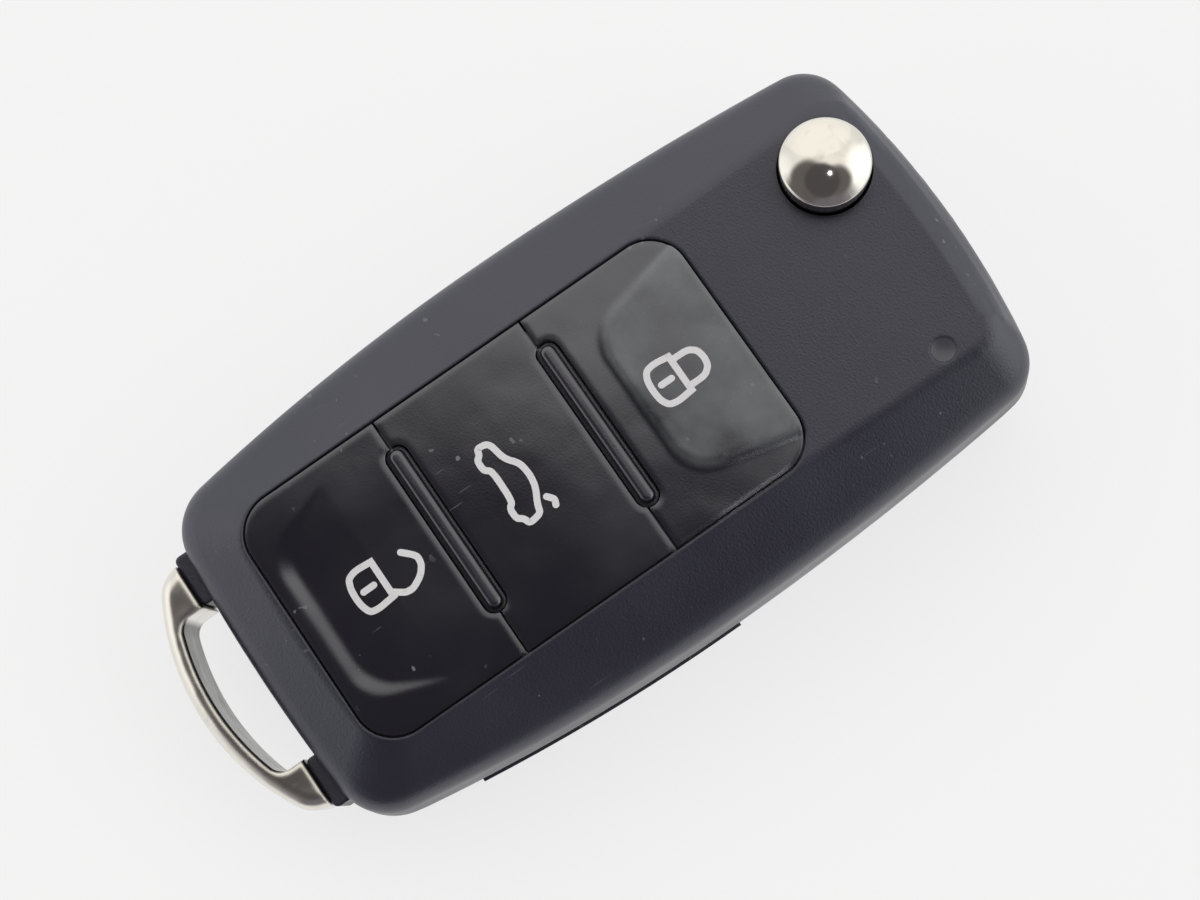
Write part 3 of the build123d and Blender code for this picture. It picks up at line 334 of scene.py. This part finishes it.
def moulded_plastic(
    name, colour, roughness, ior, grain_depth, wear, rounding, level=0.0, pad_sheen_and_wear_from=None
):
    """Black moulded plastic: grain, slow colour changes, dust specks and fine scratches.

    Edges look rounded by a radius and slopes gentler by a share. Given a height in metres, what
    stands above it is painted paler as a highlight, and made duller and dusted with powder as wear.
    """
    finish = Finish(name, colour, roughness)
    drift = finish.noise(DRIFT_SPACING)
    marks = wear_marks(finish, wear)
    base = finish.mix(drift, colour, toned(colour, DRIFT_LIGHTER))
    rough = finish.ramp(drift, *DRIFT_LEVELS, roughness - DRIFT_SMOOTHER, roughness + DRIFT_ROUGHER)
    if pad_sheen_and_wear_from is not None:
        pad_sheen_and_wear = pad_sheen_and_wear_share(finish, pad_sheen_and_wear_from)
        # Painted highlight: what stands above the height is painted paler
        base = finish.mix(pad_sheen_and_wear, base, colours().pad_sheen_and_wear)
        marks = finish.maths("MAXIMUM", marks, powder_marks(finish, pad_sheen_and_wear))
        rough = finish.maths("ADD", rough, finish.maths("MULTIPLY", pad_sheen_and_wear, RUBBED_DULLNESS))
    finish.colour_by(finish.mix(marks, base, colours().dust))
    finish.roughness_by(finish.maths("ADD", rough, finish.maths("MULTIPLY", marks, MARK_DULLNESS)))
    grain = finish.noise(sizes().grain, detail=GRAIN_DETAIL)
    uneven = finish.noise(UNEVEN_SPACING, detail=UNEVEN_DETAIL, roughness=SOFT_NOISE)
    finish.bump(grain, grain_depth, rounding=rounding, level=level, wave=(uneven, UNEVEN_DEPTH))
    finish.shader.inputs["Specular IOR Level"].default_value = SPECULAR_LEVEL
    finish.shader.inputs["Specular Tint"].default_value = (*SPECULAR_TINT, 1)
    finish.shader.inputs["IOR"].default_value = ior
    return finish.material


# Plating: waves, dull spots, hairlines, and the facing along Y where the painted dark reflection of the
# case starts and is full
WAVE_SPACING = 0.003
WAVE_STRENGTH = 0.6
DULL_SPACING = 0.0016
DULL_LEVELS = (0.55, 0.75)
DULL_DARKER = 0.86
DULL_ROUGHER = 0.10
HAIRLINE_SPACING = 0.0009
HAIRLINE_STRETCH = (1, 0.08, 1)
HAIRLINE_TURN = 0.9
HAIRLINE_LEVELS = (0.62, 0.7)
HAIRLINE_ROUGHER = 0.06
CASE_REFLECTION_FACING = (0.2, 0.6)
CASE_REFLECTION_DARKER = 0.10


def bright_plating(name, colour, roughness, waviness, rounding=0.0, case_reflection=None):
    """Bright plating: waviness of a given height, fine hairlines, dull spots and rounded edges.

    Given a dark colour, the faces that look along +Y, towards the case, are painted in it as a dark
    reflection of the case.
    """
    finish = Finish(name, colour, roughness, metallic=1.0)
    dull = finish.ramp(finish.noise(DULL_SPACING, detail=3.0), *DULL_LEVELS)
    base = finish.mix(dull, colour, toned(colour, DULL_DARKER))
    # Painted dark reflection: faces that look towards the case along +Y are darkened
    if case_reflection:
        facing = finish.add("ShaderNodeSeparateXYZ")
        finish.join(finish.add("ShaderNodeTexCoord").outputs["Normal"], facing.inputs["Vector"])
        base = finish.mix(finish.ramp(facing.outputs["Y"], *CASE_REFLECTION_FACING), base, case_reflection)
    finish.colour_by(base)
    spots = finish.ramp(dull, 0, 1, roughness, roughness + DULL_ROUGHER)
    hair_noise = finish.noise(HAIRLINE_SPACING, place=finish.stretched(HAIRLINE_STRETCH, HAIRLINE_TURN))
    hairlines = finish.ramp(hair_noise, *HAIRLINE_LEVELS, 0, HAIRLINE_ROUGHER)
    finish.roughness_by(finish.maths("ADD", spots, hairlines))
    finish.bump(finish.noise(WAVE_SPACING, detail=1.0), waviness, WAVE_STRENGTH, rounding)
    return finish.material


# Brushed metals
BRUSH_SPACING = 0.00012
BRUSH_LEVELS = (0.3, 0.7)
BRUSH_DARKER = 0.80
BRUSH_ROUGHER = 0.08
BRUSH_SMOOTHER = 0.05
BRUSH_DEPTH = 0.000012
BRUSH_STRENGTH = 0.7


def brushed_metal(name, colour, roughness, along=(1, 1, 1)):
    """Satin metal with fine brush lines along one axis, or an even fine grain."""
    finish = Finish(name, colour, roughness, metallic=1.0)
    lines = finish.noise(BRUSH_SPACING, detail=3.0, place=finish.stretched(along))
    finish.colour_by(finish.mix(finish.ramp(lines, *BRUSH_LEVELS), toned(colour, BRUSH_DARKER), colour))
    limits = (roughness + BRUSH_ROUGHER, roughness - BRUSH_SMOOTHER)
    finish.roughness_by(finish.ramp(lines, *BRUSH_LEVELS, *limits))
    finish.bump(lines, BRUSH_DEPTH, BRUSH_STRENGTH)
    return finish.material


# Small inner mouldings
INNER_GRAIN = 0.0004
INNER_GRAIN_DEPTH = 0.00001
INNER_GRAIN_STRENGTH = 0.6
INNER_TONE_SPACING = 0.0032
INNER_TONE_LEVELS = (0.35, 0.65)
INNER_DARKER = 0.75


def plain_moulding(name, colour, roughness):
    """Small inner mouldings: one colour with a slow change and a slight grain."""
    finish = Finish(name, colour, roughness)
    tone = finish.ramp(finish.noise(INNER_TONE_SPACING), *INNER_TONE_LEVELS)
    finish.colour_by(finish.mix(tone, toned(colour, INNER_DARKER), colour))
    finish.bump(finish.noise(INNER_GRAIN), INNER_GRAIN_DEPTH, INNER_GRAIN_STRENGTH)
    return finish.material


def dress(material, *names):
    """Gives each of the named CAD nodes one material."""
    for name in names:
        slots = nodes[name].data.materials
        slots.clear()
        slots.append(material)


class CARKEY_OT_shells(bpy.types.Operator):
    """Grained black plastic on both shells and the battery cover"""

    bl_idname = "carkey.shells"
    bl_label = "Finish Shells"

    def execute(self, context):
        shell = moulded_plastic(
            "shell_plastic",
            colours().shell,
            roughness=0.36,
            ior=1.52,
            grain_depth=0.000026,
            wear=0.45,
            rounding=0.0004,
        )
        cover = moulded_plastic(
            "cover_plastic",
            colours().cover,
            roughness=0.38,
            ior=1.52,
            grain_depth=0.000028,
            wear=0.4,
            rounding=0.0003,
        )
        dress(shell, "front_shell", "rear_shell")
        dress(cover, "battery_cover")
        return {"FINISHED"}


class CARKEY_OT_keys(bpy.types.Operator):
    """Smooth black finish on the keys, the mat's ribs and the light guide"""

    bl_idname = "carkey.keys"
    bl_label = "Finish Keys"

    def execute(self, context):
        # The lock pad, above the shell's top, gets a painted paler highlight and real wear
        keys = moulded_plastic(
            "key_gloss",
            colours().keys,
            roughness=0.11,
            ior=1.70,
            grain_depth=0.000002,
            wear=0.6,
            rounding=0.0008,
            level=0.7,
            pad_sheen_and_wear_from=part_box("front_shell")[1].z,
        )
        mat = moulded_plastic(
            "mat_rubber",
            colours().keys,
            roughness=0.20,
            ior=1.70,
            grain_depth=0.000004,
            wear=0.3,
            rounding=0.0003,
        )
        dress(keys, "lock_button", "boot_button", "unlock_button")
        dress(mat, "keypad_mat")
        dress(plain_moulding("guide_plastic", (0.10, 0.10, 0.12), 0.35), "led_light_guide")
        return {"FINISHED"}


class CARKEY_OT_chrome(bpy.types.Operator):
    """Warm bright plating on the release button and the key ring loop"""

    bl_idname = "carkey.chrome"
    bl_label = "Finish Chrome"

    def execute(self, context):
        chrome = colours().chrome
        button = bright_plating("button_chrome", chrome, roughness=0.09, waviness=0.00006)
        # The loop's faces towards the case get a painted dark reflection of the case
        loop = bright_plating(
            "loop_chrome",
            chrome,
            roughness=0.17,
            waviness=0.00020,
            rounding=0.0006,
            case_reflection=toned(chrome, CASE_REFLECTION_DARKER),
        )
        dress(button, "release_button")
        dress(loop, "key_ring_loop")
        return {"FINISHED"}


class CARKEY_OT_blade(bpy.types.Operator):
    """Metal of the blade, its hub, pin, plunger, spring and the screws"""

    bl_idname = "carkey.blade"
    bl_label = "Finish Blade"

    def execute(self, context):
        dress(brushed_metal("blade_steel", colours().steel, 0.28, along=(1, 0.05, 1)), "key_blade")
        dress(brushed_metal("hub_metal", (0.42, 0.42, 0.43), 0.42), "blade_hub", "release_plunger")
        dress(brushed_metal("pin_steel", (0.5, 0.5, 0.5), 0.3, along=(1, 1, 0.1)), "blade_pin")
        dress(brushed_metal("spring_steel", (0.45, 0.45, 0.46), 0.3), "flip_spring")
        dress(brushed_metal("screw_steel", (0.12, 0.12, 0.12), 0.4), "case_screws")
        return {"FINISHED"}


class CARKEY_OT_electronics(bpy.types.Operator):
    """Finishes of the circuit board, what it carries, the cell and its contacts"""

    bl_idname = "carkey.electronics"
    bl_label = "Finish Electronics"

    def execute(self, context):
        dress(plain_moulding("board_laminate", (0.012, 0.10, 0.045), 0.35), "circuit_board")
        dress(plain_moulding("switch_body", (0.05, 0.05, 0.05), 0.5), "tact_switches")
        ivory = plain_moulding("plunger_plastic", (0.70, 0.68, 0.62), 0.45)
        dress(ivory, "lock_switch_plunger", "boot_switch_plunger", "unlock_switch_plunger")
        dress(plain_moulding("chip_plastic", (0.03, 0.03, 0.03), 0.5), "controller_chip")
        dress(brushed_metal("component_metal", (0.62, 0.60, 0.56), 0.35), "board_components")
        winding = brushed_metal("coil_winding", (0.55, 0.24, 0.10), 0.35, along=(0.2, 8, 1))
        dress(winding, "transponder_coil")
        dress(plain_moulding("led_body", (0.80, 0.78, 0.72), 0.2), "indicator_led")
        dress(brushed_metal("cell_steel", (0.66, 0.66, 0.66), 0.3), "battery_cell")
        bronze = brushed_metal("contact_metal", (0.68, 0.55, 0.32), 0.3)
        dress(bronze, "battery_contact_positive", "battery_contact_negative")
        return {"FINISHED"}


# Symbol outlines in millimetres, in the part's plan view, as (points, closed, cornered)
LOCK_LINES = [
    (
        [(-1.80, 11.15), (-2.0, 9.8), (-1.85, 9.0), (-1.2, 8.62), (-0.2, 8.52), (0.85, 8.62),
         (1.5, 9.0), (1.66, 9.8), (1.52, 11.15)],
        True,
        True,
    ),
    (
        [(-1.42, 11.3), (-1.40, 12.7), (-0.9, 13.35), (-0.1, 13.5), (0.65, 13.35), (1.16, 12.7),
         (1.16, 11.3)],
        False,
        False,
    ),
    ([(-0.2, 9.35), (-0.2, 10.35)], False, False),
]
BOOT_LINES = [
    (
        [(-4.5, -5.05), (-4.6, -5.85), (-4.05, -6.0), (-3.75, -6.4), (-2.8, -6.4), (-2.4, -5.85),
         (0.6, -5.9), (1.0, -6.4), (1.95, -6.4), (2.3, -5.9), (2.9, -5.7), (2.7, -4.55),
         (1.95, -4.35), (0.75, -3.7), (-0.3, -3.5), (-1.6, -3.62), (-2.7, -4.5), (-4.1, -4.75)],
        True,
        False,
    ),
    ([(1.87, -3.4), (2.4, -2.95), (2.85, -3.15)], False, False),
]
UNLOCK_LINES = [
    (
        [(-1.92, -18.1), (-2.06, -19.6), (-1.8, -20.4), (-1.0, -20.7), (-0.2, -20.76),
         (0.65, -20.7), (1.45, -20.4), (1.6, -19.6), (1.45, -18.1)],
        True,
        True,
    ),
    (
        [(1.12, -18.0), (1.8, -17.1), (1.85, -16.4), (1.3, -15.35), (0.6, -14.8), (-0.1, -14.72),
         (-0.5, -15.0), (-1.17, -15.68)],
        False,
        False,
    ),
    ([(-0.22, -19.95), (-0.22, -18.95)], False, False),
]

# Share of a side that corner cutting takes from each end, how often it is done, and the
# points of a rounded line end
CORNER_CUT = 0.2
CUT_ROUNDS = 3
END_POINTS = 7

# Rise of each painted line over the one before it, as a share of the paint's height
LINE_STEP = 0.15

# Symbol paint
PAINT_ROUGHNESS = 0.38
PAINT_WEAR_SPACING = 0.0006
PAINT_WEAR_LEVELS = (0.62, 0.72)
PAINT_WORN = 0.9
PAINT_GRAIN = 0.0002
PAINT_GRAIN_DEPTH = 0.000004
PAINT_GRAIN_STRENGTH = 0.5


def smooth_line(points, closed):
    """Corner cutting: each side is replaced by its points a fifth and four fifths of the way along.

    The two ends of an open line stay where they are.
    """
    line = np.array(points, float)
    if len(line) < 3:
        return line
    near, far = 1 - CORNER_CUT, CORNER_CUT
    for _ in range(CUT_ROUNDS):
        after = np.roll(line, -1, axis=0) if closed else line[1:]
        before = line if closed else line[:-1]
        cut = np.stack((before * near + after * far, before * far + after * near), axis=1)
        cut = cut.reshape(-1, 2)
        line = cut if closed else np.vstack((line[:1], cut[1:-1], line[-1:]))
    return line


def ribbon(line, closed, width):
    """Flat band along a line: each point gives two, moved half the width to each side of it.

    The side of a straight piece is its direction turned by a quarter. At a point it is the sum of
    the two neighbours' sides, divided by one plus their dot product. An open band ends in a half
    circle.
    """
    step = (np.roll(line, -1, axis=0) if closed else line[1:]) - (line if closed else line[:-1])
    step /= np.linalg.norm(step, axis=1)[:, None]
    before = np.roll(step, 1, axis=0) if closed else np.vstack((step[:1], step))
    after = step if closed else np.vstack((step, step[-1:]))
    along = (before + after) / (1 + (before * after).sum(axis=1))[:, None]
    side = np.stack((-along[:, 1], along[:, 0]), axis=1)
    half = np.full(len(line), width / 2)
    if not closed:
        turn = np.linspace(0, math.pi / 2, END_POINTS)
        ends = []
        for end, sign in ((0, -1), (-1, 1)):
            reach = np.cos(turn)[:, None] * along[end] * sign * width / 2 + line[end]
            sides = np.repeat(side[end][None], len(turn), axis=0)
            ends.append((reach, np.sin(turn) * width / 2, sides))
        first, last = ends
        line = np.vstack((first[0], line[1:-1], last[0][::-1]))
        half = np.concatenate((first[1], half[1:-1], last[1][::-1]))
        side = np.vstack((first[2], side[1:-1], last[2][::-1]))
    left = line + side * half[:, None]
    right = line - side * half[:, None]
    count = len(line)
    index = np.arange(count if closed else count - 1)
    following = (index + 1) % count
    faces = np.stack((index, index + count, following + count, following), axis=1)
    return np.vstack((left, right)), faces


def symbol(name, lines, key, body, material):
    """White painted symbol: bands laid on the key's top, thickened by the paint's height.

    Each line lies a little above the one before it, where they cross.
    """
    width = sizes().stroke / MM
    points, faces, rises, start = [], [], [], 0
    for order, (line, closed, cornered) in enumerate(lines):
        rows, quads = ribbon(smooth_line(line, closed and not cornered), closed, width)
        points.append(rows)
        faces.append(quads + start)
        rises.append(np.full(len(rows), order * sizes().paint * LINE_STEP))
        start += len(rows)
    flat = np.vstack(points) * MM
    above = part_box(key)[1].z + sizes().stroke
    places = np.column_stack((flat, np.full(len(flat), above)))
    mesh = bpy.data.meshes.new(name)
    mesh.from_pydata(places.tolist(), [], np.vstack(faces).tolist())
    piece = bpy.data.objects.new(name, mesh)
    bpy.context.scene.collection.objects.link(piece)
    lay = piece.modifiers.new("lay", "SHRINKWRAP")
    lay.target = nodes[key]
    lay.wrap_method = "PROJECT"
    lay.use_project_z = True
    lay.use_negative_direction = True
    lay.use_positive_direction = False
    lay.offset = sizes().paint
    thicken = piece.modifiers.new("thicken", "SOLIDIFY")
    thicken.thickness = 2 * sizes().paint
    thicken.offset = -1
    apply_modifiers(piece)
    raise_points(piece.data, np.concatenate(rises))
    piece.data.materials.append(material)
    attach(piece, body)


def raise_points(mesh, rises):
    """Adds a rise to the height of each point; the second half of the points repeats the first."""
    places = np.empty(len(mesh.vertices) * 3, dtype=np.float32)
    mesh.vertices.foreach_get("co", places)
    places = places.reshape(-1, 3)
    places[:, 2] += np.resize(rises, len(places))
    mesh.vertices.foreach_set("co", places.ravel())
    mesh.update()


def apply_modifiers(piece):
    """Replaces a piece's mesh by the result of its modifiers."""
    bpy.context.view_layer.update()
    done = bpy.data.meshes.new_from_object(piece.evaluated_get(bpy.context.evaluated_depsgraph_get()))
    piece.modifiers.clear()
    done.name = piece.name
    piece.data = done


def symbol_paint():
    """White paint with slightly greyed worn spots and a fine grain."""
    white = colours().symbols
    finish = Finish("symbol_paint", white, PAINT_ROUGHNESS)
    worn = finish.ramp(finish.noise(PAINT_WEAR_SPACING, detail=3.0), *PAINT_WEAR_LEVELS)
    finish.colour_by(finish.mix(worn, white, toned(white, PAINT_WORN)))
    finish.bump(finish.noise(PAINT_GRAIN), PAINT_GRAIN_DEPTH, PAINT_GRAIN_STRENGTH)
    return finish.material


class CARKEY_OT_symbols(bpy.types.Operator):
    """Painted symbols for lock, boot and unlock on the keys"""

    bl_idname = "carkey.symbols"
    bl_label = "Paint Symbols"

    def execute(self, context):
        paint = symbol_paint()
        symbol("lock_symbol", LOCK_LINES, "lock_button", "lock_key", paint)
        symbol("boot_symbol", BOOT_LINES, "boot_button", "boot_key", paint)
        symbol("unlock_symbol", UNLOCK_LINES, "unlock_button", "unlock_key", paint)
        return {"FINISHED"}


# Camera: place in metres, turn in degrees, lens for a 36 mm sensor and nearest distance seen
CAMERA_PLACE = (0.030511, -0.001729, 0.199565)
CAMERA_TURN = (8.128, 4.108, 55.541)
CAMERA_LENS = 69.34
CAMERA_NEAR = 0.01

# Lamps: place and width in metres, and colour
KEY_LAMP = ((-0.80, 0.40, 0.60), 1.60, (1.0, 0.99, 0.97))
SMALL_LAMP = ((0.068, 0.059, 0.55), 0.05, (1.0, 1.0, 1.0))

# Floor: half its width in metres, the share of it that shows as white, and its slow change
FLOOR_HALF = 3.0
FLOOR_GLOW = 0.74
FLOOR_ROUGHNESS = 0.7
FLOOR_TONE_SPACING = 0.05
FLOOR_DARKER = 0.97

# World: its colour, and regions as (middle's direction, inner and outer half angle in degrees, colour)
SKY = (0.82, 0.825, 0.84)
SKY_REGIONS = (
    ((-0.55, 0.38, 1.0), 22, 55, (1.0, 0.975, 0.93)),
    ((0.84, 1.53, 1.0), 8, 40, (1.5, 1.5, 1.48)),
    ((-1.66, -2.20, 1.0), 8, 34, (1.15, 1.15, 1.13)),
    ((0.66, -0.45, 0.42), 22, 62, (0.17, 0.16, 0.18)),
    ((-0.031, -0.518, 1.0), 20, 33, (0.13, 0.12, 0.12)),
    ((0.405, 0.116, 1.0), 14, 26, (0.13, 0.12, 0.12)),
    ((0.191, -0.195, 1.0), 20, 27, (0.08, 0.075, 0.08)),
)


def area_lamp(name, place, size, colour, strength):
    """Round lamp that faces the origin; its power keeps the light level at any distance."""
    data = bpy.data.lights.new(name, "AREA")
    data.shape = "DISK"
    data.size = size
    data.color = colour
    lamp = bpy.data.objects.new(name, data)
    bpy.context.scene.collection.objects.link(lamp)
    lamp.location = place
    away = Vector(place)
    data.energy = strength * away.length_squared * math.pi
    lamp.rotation_mode = "QUATERNION"
    lamp.rotation_quaternion = away.to_track_quat("Z", "Y")


def build_floor():
    """Pale table top: a square sheet at the height that the key rests on.

    A share of it shows as plain white to the camera, to gloss and to clear things. The rest takes
    light and shadow.
    """
    corners = np.array([(-1, -1), (1, -1), (1, 1), (-1, 1)]) * FLOOR_HALF
    mesh = bpy.data.meshes.new("floor")
    mesh.from_pydata([(x, y, cad_low.z) for x, y in corners], [], [(0, 1, 2, 3)])
    floor = bpy.data.objects.new("floor", mesh)
    bpy.context.scene.collection.objects.link(floor)
    pale = colours().floor
    finish = Finish("floor_paper", pale, FLOOR_ROUGHNESS)
    finish.colour_by(finish.mix(finish.noise(FLOOR_TONE_SPACING), toned(pale, FLOOR_DARKER), pale))
    path = finish.add("ShaderNodeLightPath").outputs
    seen = finish.maths("MAXIMUM", path["Is Camera Ray"], path["Is Glossy Ray"])
    seen = finish.maths("MAXIMUM", seen, path["Is Transmission Ray"])
    glow = finish.add("ShaderNodeEmission", Color=(1, 1, 1, 1), Strength=1.0)
    blend = finish.add("ShaderNodeMixShader")
    finish.join(finish.maths("MULTIPLY", seen, FLOOR_GLOW), blend.inputs["Fac"])
    finish.join(finish.shader.outputs["BSDF"], blend.inputs[1])
    finish.join(glow.outputs["Emission"], blend.inputs[2])
    finish.join(blend.outputs["Shader"], finish.tree.nodes["Material Output"].inputs["Surface"])
    mesh.materials.append(finish.material)


def build_world(strength):
    """Pale world with soft bright and dim regions, which plating and gloss mirror.

    Each region's share rises smoothly as a direction comes nearer to the region's middle.
    """
    world = bpy.data.worlds.new("studio")
    bpy.context.scene.world = world
    world.use_nodes = True
    tree = world.node_tree
    background = tree.nodes["Background"]
    background.inputs["Strength"].default_value = strength
    direction = add_node(tree, "ShaderNodeTexCoord").outputs["Generated"]
    colour = None
    for middle, inner, outer, tone in SKY_REGIONS:
        towards = add_node(tree, "ShaderNodeVectorMath", operation="DOT_PRODUCT")
        towards.inputs[1].default_value = Vector(middle).normalized()
        tree.links.new(direction, towards.inputs[0])
        share = add_node(
            tree,
            "ShaderNodeMapRange",
            interpolation_type="SMOOTHERSTEP",
            From_Min=math.cos(math.radians(outer)),
            From_Max=math.cos(math.radians(inner)),
        )
        tree.links.new(towards.outputs["Value"], share.inputs["Value"])
        tint = add_node(tree, "ShaderNodeMix", data_type="RGBA")
        tree.links.new(share.outputs["Result"], tint.inputs["Factor"])
        around, inside = typed(tint.inputs, "RGBA")
        around.default_value = (*SKY, 1)
        inside.default_value = (*tone, 1)
        if colour:
            tree.links.new(colour, around)
        colour = typed(tint.outputs, "RGBA")[0]
    tree.links.new(colour, background.inputs["Color"])


class CARKEY_OT_studio(bpy.types.Operator):
    """Floor, lamps, world and camera"""

    bl_idname = "carkey.studio"
    bl_label = "Build Studio"

    def execute(self, context):
        studio = context.scene.car_key_studio
        build_floor()
        build_world(studio.world)
        area_lamp("key_lamp", *KEY_LAMP, studio.key_light)
        area_lamp("small_lamp", *SMALL_LAMP, studio.small_light)
        data = bpy.data.cameras.new("photo_camera")
        data.lens = CAMERA_LENS
        data.clip_start = CAMERA_NEAR
        camera = bpy.data.objects.new("photo_camera", data)
        context.scene.collection.objects.link(camera)
        camera.location = CAMERA_PLACE
        camera.rotation_euler = [math.radians(angle) for angle in CAMERA_TURN]
        context.scene.camera = camera
        context.scene.view_settings.view_transform = "Standard"
        return {"FINISHED"}


class CARKEY_PT_panel(bpy.types.Panel):
    """Lists the steps that finish the key and build its studio"""

    bl_idname = "CARKEY_PT_panel"
    bl_label = "Car Key"
    bl_space_type = "VIEW_3D"
    bl_region_type = "UI"
    bl_category = "Car Key"

    def draw(self, context):
        layout = self.layout
        for step in STEPS:
            layout.operator(step.bl_idname)
        for group in ("car_key_colours", "car_key_sizes", "car_key_studio"):
            settings = getattr(context.scene, group)
            column = layout.column()
            for name in settings.__annotations__:
                column.prop(settings, name)


GROUPS = (CarKeyColours, CarKeySizes, CarKeyStudio)
STEPS = (
    CARKEY_OT_shells,
    CARKEY_OT_keys,
    CARKEY_OT_chrome,
    CARKEY_OT_blade,
    CARKEY_OT_electronics,
    CARKEY_OT_symbols,
    CARKEY_OT_studio,
)


def register():
    """Registers the settings, the steps and the panel."""
    for item in (*GROUPS, *STEPS, CARKEY_PT_panel):
        bpy.utils.register_class(item)
    bpy.types.Scene.car_key_colours = bpy.props.PointerProperty(type=CarKeyColours)
    bpy.types.Scene.car_key_sizes = bpy.props.PointerProperty(type=CarKeySizes)
    bpy.types.Scene.car_key_studio = bpy.props.PointerProperty(type=CarKeyStudio)


def unregister():
    """Takes away what register added."""
    del bpy.types.Scene.car_key_studio
    del bpy.types.Scene.car_key_sizes
    del bpy.types.Scene.car_key_colours
    for item in (CARKEY_PT_panel, *reversed(STEPS), *reversed(GROUPS)):
        bpy.utils.unregister_class(item)


def main():
    """Runs every step in order."""
    register()
    bpy.ops.carkey.shells()
    bpy.ops.carkey.keys()
    bpy.ops.carkey.chrome()
    bpy.ops.carkey.blade()
    bpy.ops.carkey.electronics()
    bpy.ops.carkey.symbols()
    bpy.ops.carkey.studio()


if __name__ == "__main__":
    main()
